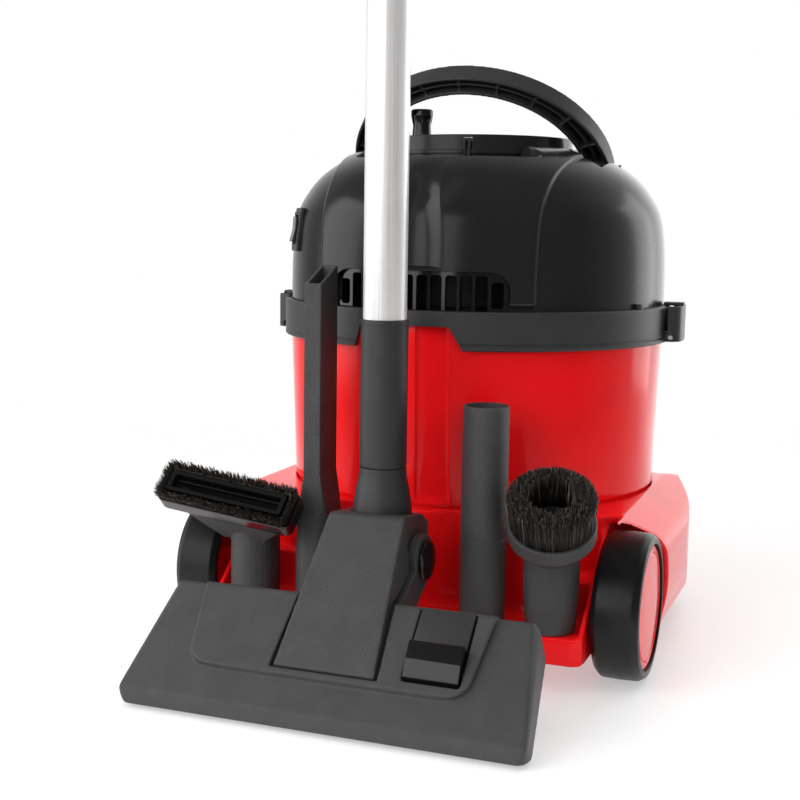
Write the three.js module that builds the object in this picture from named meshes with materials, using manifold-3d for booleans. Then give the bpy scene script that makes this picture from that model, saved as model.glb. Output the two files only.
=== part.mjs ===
// Canister vacuum cleaner with a docked floor tool, a two-piece wand and four stowed tools.
// Millimetres, +Z up. The rear of the machine, where the tools are stowed, faces -Y; the hose
// inlet faces +Y. Everything is laid out about the drum's vertical axis, and the last lines
// move the origin to the middle of the footprint, on the floor.

import * as THREE from 'three';
import { mergeVertices } from 'three/addons/utils/BufferGeometryUtils.js';
import Module from 'manifold-3d';

const wasm = await Module();
wasm.setup();

// ---- driving dimensions -------------------------------------------------------------------

const GAP = 0.3; // clearance between neighbouring pieces
const ROUND = 36; // sides of every large turned piece about the drum's axis

const DRUM_R = 162; // drum outer radius just under the rim band
const DRUM_FOOT_R = 156.4; // drum outer radius where it enters the base
const DRUM_BOTTOM = 62.2;
const DRUM_TOP = 262;
const DRUM_WALL = 3.2;

const BASE_TOP = 119; // top of the base's flared deck beside the drum
const BASE_HALF = 191; // half width over the flares
const BASE_BLOCK = 150; // half width of the block between the rear wheels
const BASE_REAR = -208;
const BASE_FRONT = 192;
const SHELF_Z = 43; // tool shelf behind the drum
const DECK_Z = 57; // underside of the deck that carries the drum
const BASE_UNDER = 22;
const BASE_WALL = 3.5;

const WHEEL_Y = -146; // rear wheels
const WHEEL_R = 56;
const WHEEL_OUT = 189;
const WHEEL_IN = 153;
const HUB_R = 47.6;
const AXLE_R = 5;
const AXLE_IN = 118; // inner end of each axle boss
const ARCH_R = 60.5;

const CASTER_X = 98; // front casters
const CASTER_Y = 104;
const CASTER_R = 20;
const CASTER_TRAIL = 12;
const CASTER_ROOF = 47; // underside of the caster's swivel socket

const INLET_Z = 178; // hose inlet on the drum's front
const RECESS_X = 16; // upright recess in the drum's rear

const BAND_R = 167.6; // rim band around the drum's mouth
const BAND_LOW = 243.7;
const BAND_HIGH = 274;
const NUB_ANGLE = THREE.MathUtils.degToRad(20);

const CLAMP_TURN = THREE.MathUtils.degToRad(3.5); // both clamps sit turned about the drum's axis
const CLAMP_OUT = 181.5;
const CLAMP_LOW = 245;
const CLAMP_HIGH = 274.6;
const CLAMP_PIN_X = 171.3;
const CLAMP_PIN_Z = 248.3;

const HEAD_LOW = 262.5; // black head
const HEAD_TOP = 400;
const HEAD_WALL = 3;
const HEAD_HOLE_R = 82.5;
const PANEL_RAISE = 2.6; // raised panel, from the rear over the top
const PANEL_LOW_HALF = 86; // its half width at the rear and between the handle's feet
const PANEL_TOP_HALF = 112;
const PARK_R = 30; // upright hollow behind the wand
const GRILLE_LOW = 268;
const GRILLE_HIGH = 304;
const GRILLE_HALF = 73;

const SWITCH_ANGLE = THREE.MathUtils.degToRad(-54.5); // power switch on the dome's side
const SWITCH_Z = 333;

const REEL_R = 80; // cable reel under the head's top
const REEL_TOP = 412;
const REEL_FLOOR = 352;
const CRANK_R = 51.5;
const CRANK_ANGLE = -2.63;

const HANDLE_Y = 10; // folding carry handle, shown half raised
const HANDLE_Z = 388;
const HANDLE_LEAN = Math.PI / 4;
const HANDLE_OUT = [115, 106];
const HANDLE_IN = [94, 88.5];
const HANDLE_THICK = 17;

const WAND_Y = -222; // docked wand
const WAND_R = 16;
const WAND_WALL = 1;
const LOWER_TUBE = [236, 700];
const UPPER_TUBE = [662, 1120];
const CUFF_R = 17.4;
const CUFF_LOW = 162;
const CUFF_TOP = 271;
const KNUCKLE_Y = -228; // elbow pivot between the neck and the floor tool
const KNUCKLE_Z = 96;
const KNUCKLE_R = 19;
const KNUCKLE_HALF = 28;
const DOCK_LOW = 96; // where the elbow's tongue rests in the dock post
const DOCK_HIGH = 112;

const TOOL_TILT = THREE.MathUtils.degToRad(34); // floor tool leaning on its front edge
const TOOL_FRONT_Y = -333;
const TOOL_FRONT_Z = 1.5;
const TOOL_DEPTH = 84;
const TOOL_HALF = 150;
const TOOL_BACK_HALF = 139;
const TOOL_WALL = 2.6;
const TOOL_FRONT_H = 20;
const TOOL_SLOPE = 0.19; // rise of the tool's top towards its back
const PLATEAU_RISE = 4.2;
const PEDAL = { x0: 57, x1: 96, y0: 26, y1: 79, pivot: 51, rise: 4 };
const BRISTLE_ROWS = [[10, 13.4], [55, 58.4]];

const STOW_Y = -190; // stowed hand tools
const CREVICE_X = -65;
const NOZZLE_X = -121;
const ADAPTER_X = 69;
const DUSTER_X = 122;
const PEG_R = 14;
const SOCKET_R = 15.8; // bore of every hand tool's socket
const STOW_Z = SHELF_Z + GAP;
const NOZZLE_LEAN = THREE.MathUtils.degToRad(48);
const NOZZLE_ROLL = THREE.MathUtils.degToRad(7);
const DUSTER_LEAN = THREE.MathUtils.degToRad(32);
const DUSTER_TURN = THREE.MathUtils.degToRad(11);

// ---- solids -------------------------------------------------------------------------------

// A closed, welded, outward-facing solid from any three.js geometry.
function solid(geometry) {
  const bare = new THREE.BufferGeometry();
  bare.setAttribute('position', geometry.getAttribute('position').clone());
  if (geometry.index) bare.setIndex(geometry.index.clone());
  const welded = mergeVertices(bare, 1e-3);
  const p = welded.getAttribute('position').array;
  const raw = welded.index.array;
  const tris = [];
  let volume = 0;
  for (let i = 0; i < raw.length; i += 3) {
    const [a, b, c] = [raw[i], raw[i + 1], raw[i + 2]];
    if (a === b || b === c || c === a) continue;
    tris.push(a, b, c);
    const va = new THREE.Vector3().fromArray(p, a * 3);
    const vb = new THREE.Vector3().fromArray(p, b * 3);
    const vc = new THREE.Vector3().fromArray(p, c * 3);
    volume += va.dot(vb.cross(vc));
  }
  if (volume < 0) {
    for (let i = 0; i < tris.length; i += 3) [tris[i], tris[i + 1]] = [tris[i + 1], tris[i]];
  }
  const mesh = new wasm.Mesh({
    numProp: 3,
    vertProperties: new Float32Array(p),
    triVerts: new Uint32Array(tris),
  });
  return new wasm.Manifold(mesh);
}

function asSolid(shape) {
  return shape.isBufferGeometry ? solid(shape) : shape;
}

function join(first, ...rest) {
  return rest.reduce((sum, one) => sum.add(asSolid(one)), asSolid(first));
}

function cut(first, ...rest) {
  return rest.reduce((left, one) => left.subtract(asSolid(one)), asSolid(first));
}

function common(first, ...rest) {
  return rest.reduce((left, one) => left.intersect(asSolid(one)), asSolid(first));
}

function geometryOf(shape) {
  const mesh = asSolid(shape).getMesh();
  const geometry = new THREE.BufferGeometry();
  geometry.setAttribute('position', new THREE.BufferAttribute(mesh.vertProperties, 3));
  geometry.setIndex(new THREE.BufferAttribute(mesh.triVerts, 1));
  return geometry;
}

function box(width, depth, height, x = 0, y = 0, z = 0) {
  return new THREE.BoxGeometry(width, depth, height).translate(x, y, z);
}

// A box given by its two extreme corners.
function block(x0, x1, y0, y1, z0, z1) {
  return box(x1 - x0, y1 - y0, z1 - z0, (x0 + x1) / 2, (y0 + y1) / 2, (z0 + z1) / 2);
}

// A straight round bar or cone along one axis, from the first to the second coordinate.
function rod(axis, radius, from, to, at, sides = 24, endRadius = radius) {
  const bar = new THREE.CylinderGeometry(endRadius, radius, to - from, sides);
  const middle = (from + to) / 2;
  if (axis === 'x') return bar.rotateZ(-Math.PI / 2).translate(middle, at[0], at[1]);
  if (axis === 'y') return bar.translate(at[0], middle, at[1]);
  return bar.rotateX(Math.PI / 2).translate(at[0], at[1], middle);
}

// A body turned about the vertical axis; points are [radius, height].
function turned(points, sides = ROUND) {
  const profile = points.map(([r, z]) => new THREE.Vector2(r, z));
  return new THREE.LatheGeometry(profile, sides).rotateX(Math.PI / 2);
}

// A ring turned about the vertical axis; its outline closes on itself.
function ring(points, sides = ROUND) {
  return turned([...points, points[0]], sides);
}

function outline(points) {
  return new THREE.Shape(points.map(([a, b]) => new THREE.Vector2(a, b)));
}

// An outline in plan, extruded upwards.
function upright(shape, z0, z1) {
  return new THREE.ExtrudeGeometry(shape, { depth: z1 - z0, bevelEnabled: false, curveSegments: 4 })
    .translate(0, 0, z0);
}

// An outline seen from the rear (x, z), extruded along Y.
function alongY(shape, y0, y1) {
  return new THREE.ExtrudeGeometry(shape, { depth: y1 - y0, bevelEnabled: false, curveSegments: 4 })
    .rotateX(Math.PI / 2)
    .translate(0, y1, 0);
}

// An outline seen from the side (y, z), extruded along X.
function alongX(shape, x0, x1) {
  const turn = new THREE.Matrix4().makeBasis(
    new THREE.Vector3(0, 1, 0),
    new THREE.Vector3(0, 0, 1),
    new THREE.Vector3(1, 0, 0),
  );
  return new THREE.ExtrudeGeometry(shape, { depth: x1 - x0, bevelEnabled: false, curveSegments: 4 })
    .applyMatrix4(turn)
    .translate(x0, 0, 0);
}

// A rectangle with rounded corners, centred on (cx, cy).
function roundedRect(width, height, radius, cx = 0, cy = 0) {
  const [w, h] = [width / 2, height / 2];
  const s = new THREE.Shape();
  s.moveTo(cx - w + radius, cy - h);
  s.lineTo(cx + w - radius, cy - h);
  s.absarc(cx + w - radius, cy - h + radius, radius, -Math.PI / 2, 0);
  s.lineTo(cx + w, cy + h - radius);
  s.absarc(cx + w - radius, cy + h - radius, radius, 0, Math.PI / 2);
  s.lineTo(cx - w + radius, cy + h);
  s.absarc(cx - w + radius, cy + h - radius, radius, Math.PI / 2, Math.PI);
  s.lineTo(cx - w, cy - h + radius);
  s.absarc(cx - w + radius, cy - h + radius, radius, Math.PI, 1.5 * Math.PI);
  return s;
}

// ---- scene helpers ------------------------------------------------------------------------

const RED = { color: 0xe01c20, roughness: 0.18, metalness: 0 };
const GLOSS_BLACK = { color: 0x191919, roughness: 0.25, metalness: 0 };
const MATT_BLACK = { color: 0x262627, roughness: 0.55, metalness: 0 };
const DARK_GREY = { color: 0x39393b, roughness: 0.6, metalness: 0 };
const RUBBER = { color: 0x141415, roughness: 0.75, metalness: 0 };
const CHROME = { color: 0xd9d7d4, roughness: 0.12, metalness: 1 };
const STEEL = { color: 0x9a9c9f, roughness: 0.35, metalness: 1 };
const BRISTLE = { color: 0x231f1d, roughness: 0.9, metalness: 0 };
const CLOTH = { color: 0xd8d8d2, roughness: 0.95, metalness: 0 };

const machine = new THREE.Group();

function piece(name, shape, look, parent = machine) {
  const mesh = new THREE.Mesh(geometryOf(shape), new THREE.MeshStandardMaterial(look));
  mesh.name = name;
  parent.add(mesh);
  return mesh;
}

// ---- base ---------------------------------------------------------------------------------

// The outer form of the base, shrunk by `inset` on every side, as one solid.
function baseForm(inset) {
  const half = BASE_HALF - inset;
  const top = BASE_TOP - inset;
  const low = BASE_UNDER - (inset > 0 ? 5 : 0);
  const across = new THREE.Shape();
  across.moveTo(-half + 8, low);
  across.lineTo(half - 8, low);
  across.lineTo(half - 3, low + 14);
  across.quadraticCurveTo(half, 50, half, 66);
  across.lineTo(half, top - 38);
  across.quadraticCurveTo(half, top - 22, half - 11, top - 15);
  across.lineTo(DRUM_FOOT_R + 4, top);
  across.lineTo(-DRUM_FOOT_R - 4, top);
  across.lineTo(-half + 11, top - 15);
  across.quadraticCurveTo(-half, top - 22, -half, top - 38);
  across.lineTo(-half, 66);
  across.quadraticCurveTo(-half, 50, -half + 3, low + 14);
  across.closePath();

  const plan = new THREE.Shape();
  const rear = BASE_REAR + inset;
  const inner = BASE_BLOCK - inset;
  plan.moveTo(-inner + 10, rear);
  plan.lineTo(inner - 10, rear);
  plan.quadraticCurveTo(inner, rear, inner, rear + 10);
  plan.lineTo(inner, WHEEL_Y + inset);
  plan.lineTo(half, WHEEL_Y + inset);
  plan.lineTo(half, 0);
  plan.bezierCurveTo(half, 105, 125, BASE_FRONT - inset, 0, BASE_FRONT - inset);
  plan.bezierCurveTo(-125, BASE_FRONT - inset, -half, 105, -half, 0);
  plan.lineTo(-half, WHEEL_Y + inset);
  plan.lineTo(-inner, WHEEL_Y + inset);
  plan.lineTo(-inner, rear + 10);
  plan.quadraticCurveTo(-inner, rear, -inner + 10, rear);

  const side = new THREE.Shape();
  side.moveTo(BASE_REAR - 1, low - 1);
  side.lineTo(BASE_REAR - 1, SHELF_Z - inset);
  side.lineTo(-172 + inset, SHELF_Z - inset);
  side.quadraticCurveTo(-166 + inset, SHELF_Z - inset, -164 + inset, SHELF_Z + 8 - inset);
  side.lineTo(-157 + inset, BASE_TOP + 1);
  side.lineTo(60, BASE_TOP + 1);
  side.quadraticCurveTo(150, 110 - inset, 180 - inset, 66);
  side.lineTo(BASE_FRONT + 1, 40);
  side.lineTo(BASE_FRONT + 1, low - 1);
  side.closePath();

  const cross = alongY(across, BASE_REAR - 2, BASE_FRONT + 2);
  const form = common(cross, upright(plan, low, BASE_TOP + 1), alongX(side, -BASE_HALF, BASE_HALF));
  // Above the axle bosses the deck's rear corners are cut back to the drum.
  const corners = [-1, 1].map((side) => upright(outline([[side * 92, -162 + inset],
    [side * 160, -121 + inset], [side * 160, -230], [side * 92, -230]]), 74 - inset, 130));
  return cut(form, ...corners);
}

// Sloping cheek between the tool shelf and a rear wheel.
function cheek(x0, x1) {
  const slope = outline([[BASE_REAR + 1, 24], [BASE_REAR + 1, SHELF_Z], [-127, 110], [-127, 24]]);
  return alongX(slope, x0, x1);
}

function pegs(radius, z0, z1) {
  const places = [CREVICE_X, NOZZLE_X, ADAPTER_X, DUSTER_X];
  return places.map((x) => rod('z', radius, z0, z1, [x, STOW_Y], 12));
}

// Post on the tool shelf with an upright T-slot, open at the top, for the elbow's tongue.
function dockPost() {
  const post = block(-14, 14, -196.5, -180, SHELF_Z - 2, DOCK_HIGH);
  const neckSlot = block(-3.8, 3.8, -197, -191, DOCK_LOW, DOCK_HIGH + 1);
  const headSlot = block(-8.8, 8.8, -191.8, -184.7, DOCK_LOW, DOCK_HIGH + 1);
  return cut(post, neckSlot, headSlot);
}

function buildBase() {
  const wellRadius = DRUM_FOOT_R + 0.8;
  const well = turned([[0, DECK_Z], [wellRadius + 3, DECK_Z], [wellRadius + 3, 116], [0, 116]]);
  const drumSpace = turned([[0, DRUM_BOTTOM - GAP], [wellRadius, DRUM_BOTTOM - GAP],
    [wellRadius, 130], [0, 130]]);
  const archLeft = rod('x', ARCH_R, -BASE_HALF - 5, -BASE_BLOCK, [WHEEL_Y, WHEEL_R], 24);
  const archRight = rod('x', ARCH_R, BASE_BLOCK, BASE_HALF + 5, [WHEEL_Y, WHEEL_R], 24);
  const innerLeft = rod('x', ARCH_R + BASE_WALL, -BASE_HALF - 5, -BASE_BLOCK + 3.5,
    [WHEEL_Y, WHEEL_R], 24);
  const innerRight = rod('x', ARCH_R + BASE_WALL, BASE_BLOCK - 3.5, BASE_HALF + 5,
    [WHEEL_Y, WHEEL_R], 24);
  const cavity = cut(baseForm(BASE_WALL), innerLeft, innerRight);
  let shell = join(cut(baseForm(0), cavity), well);
  // Bosses that hold the stub axles.
  shell = shell.add(solid(rod('x', 11, -BASE_BLOCK, -AXLE_IN, [WHEEL_Y, WHEEL_R], 20)));
  shell = shell.add(solid(rod('x', 11, AXLE_IN, BASE_BLOCK, [WHEEL_Y, WHEEL_R], 20)));
  shell = cut(shell, drumSpace, archLeft, archRight);
  for (const side of [-1, 1]) {
    shell = join(shell, rod('z', 13, CASTER_ROOF, DECK_Z + 1, [side * CASTER_X, CASTER_Y], 20));
    shell = cut(shell, rod('z', 5.2, 20, DECK_Z + 2, [side * CASTER_X, CASTER_Y], 16));
  }
  shell = join(shell, cheek(-BASE_BLOCK, 4 - BASE_BLOCK), cheek(BASE_BLOCK - 4, BASE_BLOCK));
  shell = cut(shell, rod('x', AXLE_R + GAP, -BASE_BLOCK - 1, -AXLE_IN - 4, [WHEEL_Y, WHEEL_R], 16));
  shell = cut(shell, rod('x', AXLE_R + GAP, AXLE_IN + 4, BASE_BLOCK + 1, [WHEEL_Y, WHEEL_R], 16));
  return join(shell, dockPost(), ...pegs(PEG_R, SHELF_Z - 2, SHELF_Z + 26));
}

piece('base_moulding', buildBase(), RED);

// ---- rear wheels --------------------------------------------------------------------------

function buildRearWheel(side, word) {
  const at = [WHEEL_Y, WHEEL_R];
  const span = (radius, from, to, sides) => (side > 0
    ? rod('x', radius, from, to, at, sides)
    : rod('x', radius, -to, -from, at, sides));
  piece(`${word}_axle`, span(AXLE_R, AXLE_IN + 4.5, WHEEL_OUT - 8, 16), STEEL);

  // The hub is a dished disc with a barrel that turns on the axle.
  const barrel = span(12, WHEEL_IN - 2, WHEEL_OUT - 6, 16);
  const dish = span(HUB_R, WHEEL_IN + 6, WHEEL_OUT - 1, 28);
  const hollow = cut(span(HUB_R - 5, WHEEL_IN + 2, WHEEL_OUT - 6, 24),
    span(12, WHEEL_IN - 2, WHEEL_OUT - 6, 16));
  const bore = span(AXLE_R + GAP, WHEEL_IN - 3, WHEEL_OUT - 7.5, 12);
  piece(`${word}_wheel_hub`, cut(join(dish, barrel), hollow, bore), RED);

  const crown = join(
    span(WHEEL_R - 3, WHEEL_IN, WHEEL_OUT, 28),
    span(WHEEL_R, WHEEL_IN + 4, WHEEL_OUT - 4, 28),
  );
  const seat = span(HUB_R + GAP, WHEEL_IN - 1, WHEEL_OUT + 1, 28);
  piece(`${word}_wheel_tyre`, cut(crown, seat), RUBBER);
}

buildRearWheel(-1, 'left');
buildRearWheel(1, 'right');

// ---- front casters ------------------------------------------------------------------------

function buildCaster(side, word) {
  const x = side * CASTER_X;
  const wheelY = CASTER_Y - CASTER_TRAIL;
  const at = [wheelY, CASTER_R];
  const roof = CASTER_ROOF - GAP;
  piece(`${word}_caster_stem`, rod('z', 4.8, roof - 4, DECK_Z + 1, [x, CASTER_Y], 16), STEEL);

  const top = join(
    rod('z', 14, roof - 5, roof, [x, CASTER_Y], 24),
    block(x - 14, x + 14, wheelY - 8, CASTER_Y, roof - 5, roof),
  );
  const cheeks = join(
    block(x - 14, x - 11, wheelY - 8, wheelY + 9, 14, roof - 1),
    block(x + 11, x + 14, wheelY - 8, wheelY + 9, 14, roof - 1),
  );
  const stemHole = rod('z', 5.1, roof - 4.3, roof + 1, [x, CASTER_Y], 16);
  const axleHole = rod('x', 2.8, x - 15, x + 15, at, 12);
  piece(`${word}_caster_fork`, cut(join(top, cheeks), stemHole, axleHole), MATT_BLACK);
  piece(`${word}_caster_axle`, rod('x', 2.5, x - 14, x + 14, at, 12), STEEL);

  const wheel = join(
    rod('x', CASTER_R - 2, x - 9.5, x + 9.5, at, 20),
    rod('x', CASTER_R, x - 7.5, x + 7.5, at, 20),
  );
  piece(`${word}_caster_wheel`, cut(wheel, rod('x', 2.8, x - 10, x + 10, at, 12)), RUBBER);
}

buildCaster(-1, 'left');
buildCaster(1, 'right');

// ---- drum ---------------------------------------------------------------------------------

function buildDrum() {
  const w = DRUM_WALL;
  const profile = [
    [0, DRUM_BOTTOM], [149, DRUM_BOTTOM], [154, 68], [DRUM_FOOT_R, 112], [DRUM_FOOT_R, 119],
    [DRUM_FOOT_R + 1.4, 122], [DRUM_R, BAND_LOW], [DRUM_R, DRUM_TOP],
    [DRUM_R - w, DRUM_TOP], [DRUM_R - w, BAND_LOW], [DRUM_FOOT_R - w, 118], [151 - w, 73],
    [146 - w, DRUM_BOTTOM + w], [0, DRUM_BOTTOM + w],
  ];
  const inlet = rod('y', 23.3, 130, 175, [0, INLET_Z], 22);
  const recess = block(RECESS_X - 14, RECESS_X + 14, -170, -159.6, 122.5, DRUM_TOP + 1);
  return cut(turned(profile), inlet, recess);
}

piece('drum', buildDrum(), RED);

function buildInlet() {
  const tube = rod('y', 23, 150, 196, [0, INLET_Z], 22);
  const flange = rod('y', 31, 164, 170, [0, INLET_Z], 22);
  const collar = rod('y', 26, 190, 198, [0, INLET_Z], 22);
  const bore = rod('y', 19, 149, 199, [0, INLET_Z], 22);
  const latchSlot = block(-5, 5, 180, 187, INLET_Z + 17, INLET_Z + 24);
  return cut(join(tube, flange, collar), bore, latchSlot);
}

piece('hose_inlet', buildInlet(), MATT_BLACK);

const seal = cut(
  rod('y', 30, 147.5, 150.5, [0, INLET_Z], 22),
  rod('y', 23.3, 147, 151, [0, INLET_Z], 22),
);
piece('inlet_seal', seal, RUBBER);

// Points on the +Y side, followed by their mirror images on the -Y side.
function mirrored(points) {
  return [...points, ...[...points].reverse().map(([x, y]) => [x, -y])];
}

// Places a shape made at the +X side on the clamp's side of the machine.
function atClamp(shape, side) {
  return shape.rotateZ(side > 0 ? CLAMP_TURN : Math.PI + CLAMP_TURN);
}

function buildBand() {
  const hoop = ring([[DRUM_R + GAP, BAND_LOW], [BAND_R, BAND_LOW], [BAND_R, BAND_HIGH - 1],
    [BAND_R - 1, BAND_HIGH], [DRUM_R + GAP, BAND_HIGH]]);
  const notch = outline([[-50, BAND_LOW - 1], [-44, 262], [30, 262], [41, BAND_LOW - 1]]);
  const drumSpace = rod('z', DRUM_R + GAP, 230, 290, [0, 0], ROUND);
  let band = cut(hoop, alongY(notch, -175, -140));
  for (const side of [-1, 1]) {
    const lugs = [-19, 15].flatMap((y) => [
      block(160, CLAMP_PIN_X, y, y + 4, CLAMP_PIN_Z - 3.6, CLAMP_PIN_Z + 3.6),
      rod('y', 3.1, y, y + 4, [CLAMP_PIN_X, CLAMP_PIN_Z], 16),
    ]).map((one) => atClamp(one, side));
    const nubAngle = side > 0 ? -NUB_ANGLE : Math.PI + NUB_ANGLE;
    const nub = block(162.5, 167, -3, 3, BAND_HIGH - 2, BAND_HIGH + 4).rotateZ(nubAngle);
    band = join(band, ...[...lugs, nub].map((one) => cut(one, drumSpace)));
    band = cut(band, atClamp(rod('y', 2.3, -30, 30, [CLAMP_PIN_X, CLAMP_PIN_Z], 10), side));
  }
  return band;
}

piece('rim_band', buildBand(), MATT_BLACK);

// A bowed plate that stands off the band, on a knuckle at its foot, with a hook over the rim.
function buildClamp(side, word) {
  const outer = mirrored([[CLAMP_OUT - 12.5, 25], [CLAMP_OUT - 5, 21.5], [CLAMP_OUT - 1.3, 13]]);
  const inner = mirrored([[CLAMP_OUT - 12.5, 22.2], [CLAMP_OUT - 6.9, 19.6], [CLAMP_OUT - 4.2, 12]]);
  const plan = outline([...outer, ...inner.reverse()]);
  const plate = upright(plan, CLAMP_LOW, CLAMP_HIGH);
  const knuckle = rod('y', 3.6, -14.4, 14.2, [CLAMP_PIN_X, CLAMP_PIN_Z], 16);
  const web = block(CLAMP_PIN_X, CLAMP_OUT - 2, -14.4, 14.2, CLAMP_LOW, CLAMP_PIN_Z + 2.4);
  const hook = block(163.2, CLAMP_OUT - 1.5, -6, 6, CLAMP_HIGH - 0.5, CLAMP_HIGH + 2.4);
  const hole = rod('y', 2.3, -30, 30, [CLAMP_PIN_X, CLAMP_PIN_Z], 10);
  const solids = [plate, knuckle, web, hook].map((one) => atClamp(one, side));
  piece(`${word}_clamp`, cut(join(...solids), atClamp(hole, side)), MATT_BLACK);
  const pin = rod('y', 2, -19, 19, [CLAMP_PIN_X, CLAMP_PIN_Z], 10);
  piece(`${word}_clamp_pin`, atClamp(pin, side), STEEL);
}

buildClamp(-1, 'left');
buildClamp(1, 'right');

// ---- filters inside the drum --------------------------------------------------------------

const bag = turned([[0, 66], [96, 67], [122, 82], [130, 112], [112, 150], [60, 181], [0, 189]], 16);
piece('dust_bag', cut(bag, block(-40, 40, 104, 140, 140, 210)), CLOTH);

const filter = ring([[40, 216], [140, 250], [153, 258], [158, 258], [158, 261.6], [150, 261.6],
  [136, 256], [40, 222]], 24);
piece('filter_cone', join(filter, rod('z', 41, 216, 222, [0, 0], 24)), CLOTH);

// ---- head ---------------------------------------------------------------------------------

// Outer outline of the dome, [radius, height], from its rim to the edge of the top opening.
const DOME = [[162, HEAD_LOW], [162, 290], [160.8, 322], [157, 347], [148.5, 364], [136, 379],
  [119, 391], [103, 397.5], [90, HEAD_TOP]];

function domeSolid(offset) {
  const kept = offset < 0 ? DOME.filter((_, i) => i % 2 === 0) : DOME;
  const skin = kept.map(([r, z]) => [r + offset, z === HEAD_LOW ? z : z + offset]);
  return turned([[0, HEAD_LOW], ...skin, [0, HEAD_TOP + offset]]);
}

// Plan of the raised panel: it widens from the grille to the handle's feet.
function panelPlan() {
  return outline([[-PANEL_LOW_HALF, -170], [PANEL_LOW_HALF, -170], [PANEL_TOP_HALF, 18], [88, 62],
    [-88, 62], [-PANEL_TOP_HALF, 18]]);
}

function buildHeadCover() {
  const panel = common(domeSolid(PANEL_RAISE), upright(panelPlan(), 276, 420));
  const backing = common(domeSolid(0), rod('z', PARK_R + 3, GRILLE_HIGH - 2, 376, [0, -185], 24));
  let cover = cut(join(domeSolid(0), panel), domeSolid(-HEAD_WALL));
  cover = join(cover, backing);
  for (const side of [-1, 1]) {
    const span = (from, to) => (side > 0 ? [from, to] : [-to, -from]);
    const cheek = common(domeSolid(0), block(...span(118, 125), -2, 22, 374, 401));
    const slot = join(
      block(...span(85.6, 117.6), -46, 44, 366, 410),
      block(...span(81.6, 90), -46, -16, 366, 410),
    );
    const pinHole = rod('x', 3.3, ...span(80, 123), [HANDLE_Y, HANDLE_Z], 12);
    cover = cut(join(cover, cheek), slot, pinHole);
  }
  const window = roundedRect(2 * GRILLE_HALF, GRILLE_HIGH - GRILLE_LOW, 17, 0,
    (GRILLE_LOW + GRILLE_HIGH) / 2);
  const top = rod('z', HEAD_HOLE_R, 380, 420, [0, 0], ROUND);
  const park = rod('z', PARK_R, GRILLE_HIGH + 1, 372, [0, -185], 24);
  return cut(cover, top, park, alongY(window, -175, -130), switchHole());
}

function switchHole() {
  return box(20, 30, 30, 0, -155, SWITCH_Z).rotateZ(SWITCH_ANGLE);
}

piece('head_cover', buildHeadCover(), GLOSS_BLACK);

function buildGrille() {
  const middle = (GRILLE_LOW + GRILLE_HIGH) / 2;
  const height = GRILLE_HIGH - GRILLE_LOW - 2 * GAP;
  const shape = roundedRect(2 * (GRILLE_HALF - GAP), height, 16.7, 0, middle);
  const hoop = ring([[156.6, GRILLE_LOW], [160.6, GRILLE_LOW], [160.6, GRILLE_HIGH],
    [156.6, GRILLE_HIGH]]);
  let grille = common(hoop, alongY(shape, -170, -140));
  const count = 12;
  const pitch = 11.4;
  for (let i = 0; i < count; i += 1) {
    const x = (i - (count - 1) / 2) * pitch;
    const end = i === 0 || i === count - 1;
    const tall = end ? 20 : 30;
    grille = cut(grille, box(pitch - 2.4, 40, tall, x, -155, middle));
  }
  return grille;
}

piece('exhaust_grille', buildGrille(), GLOSS_BLACK);

piece('head_base_plate', ring([[36, 263.2], [158.6, 263.2], [158.6, 266.8], [36, 266.8]]),
  MATT_BLACK);
piece('motor_gasket', ring([[34, 267.1], [66, 267.1], [66, 270], [34, 270]], 20), RUBBER);
piece('motor_housing', ring([[34, 270.3], [68, 270.3], [68, 340], [60, 346], [12, 346],
  [12, 342.5], [58, 342.5], [64.5, 338], [64.5, 273.8], [34, 273.8]], 20), MATT_BLACK);
piece('motor_fan', turned([[0, 276], [58, 276], [58, 286], [20, 292], [6, 296], [5, 349.5],
  [0, 349.5]], 20), STEEL);

// ---- cable reel and crank -----------------------------------------------------------------

function buildReelHousing() {
  const cup = turned([[0, REEL_FLOOR], [REEL_R, REEL_FLOOR], [REEL_R, 396.4], [82.2, 396.4],
    [82.2, 399.7], [REEL_R, 399.7], [REEL_R, REEL_TOP], [77.4, REEL_TOP], [77.4, 355], [4.8, 355],
    [4.8, 398], [0, 398]]);
  return cut(cup, block(10.5, 17.5, -86, -72, 392, 409.5));
}

piece('reel_housing', buildReelHousing(), GLOSS_BLACK);

const crankAt = [CRANK_R * Math.cos(CRANK_ANGLE), CRANK_R * Math.sin(CRANK_ANGLE)];

const spool = turned([[0, 400.3], [5.2, 400.3], [5.2, 356], [74, 356], [74, 358.5], [30, 358.5],
  [30, 403], [76.8, 403], [76.8, 406.5], [0, 406.5]], 32);
piece('cable_reel', join(spool, rod('z', 2.6, 406, 429, crankAt, 12)), GLOSS_BLACK);

const knob = turned([[0, 430], [2.9, 430], [2.9, 407], [8.6, 407], [7.8, 423], [9.6, 431],
  [9.6, 435], [8.6, 436.4], [0, 436.4]], 16).translate(crankAt[0], crankAt[1], 0);
piece('crank_knob', knob, GLOSS_BLACK);

// ---- carry handle -------------------------------------------------------------------------

// A half-elliptic arch with straight feet, as points of an outline.
function arch(outA, outB, inA, inB, foot, steps) {
  const curve = (a, b, i) => [a * Math.cos((Math.PI * i) / steps), b * Math.sin((Math.PI * i) / steps)];
  const points = [];
  for (let i = 0; i <= steps; i += 1) points.push(curve(outA, outB, i));
  if (foot > 0) points.push([-outA, -foot], [-inA, -foot]);
  for (let i = steps; i >= 0; i -= 1) points.push(curve(inA, inB, i));
  if (foot > 0) points.push([inA, -foot], [outA, -foot]);
  return outline(points);
}

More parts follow.
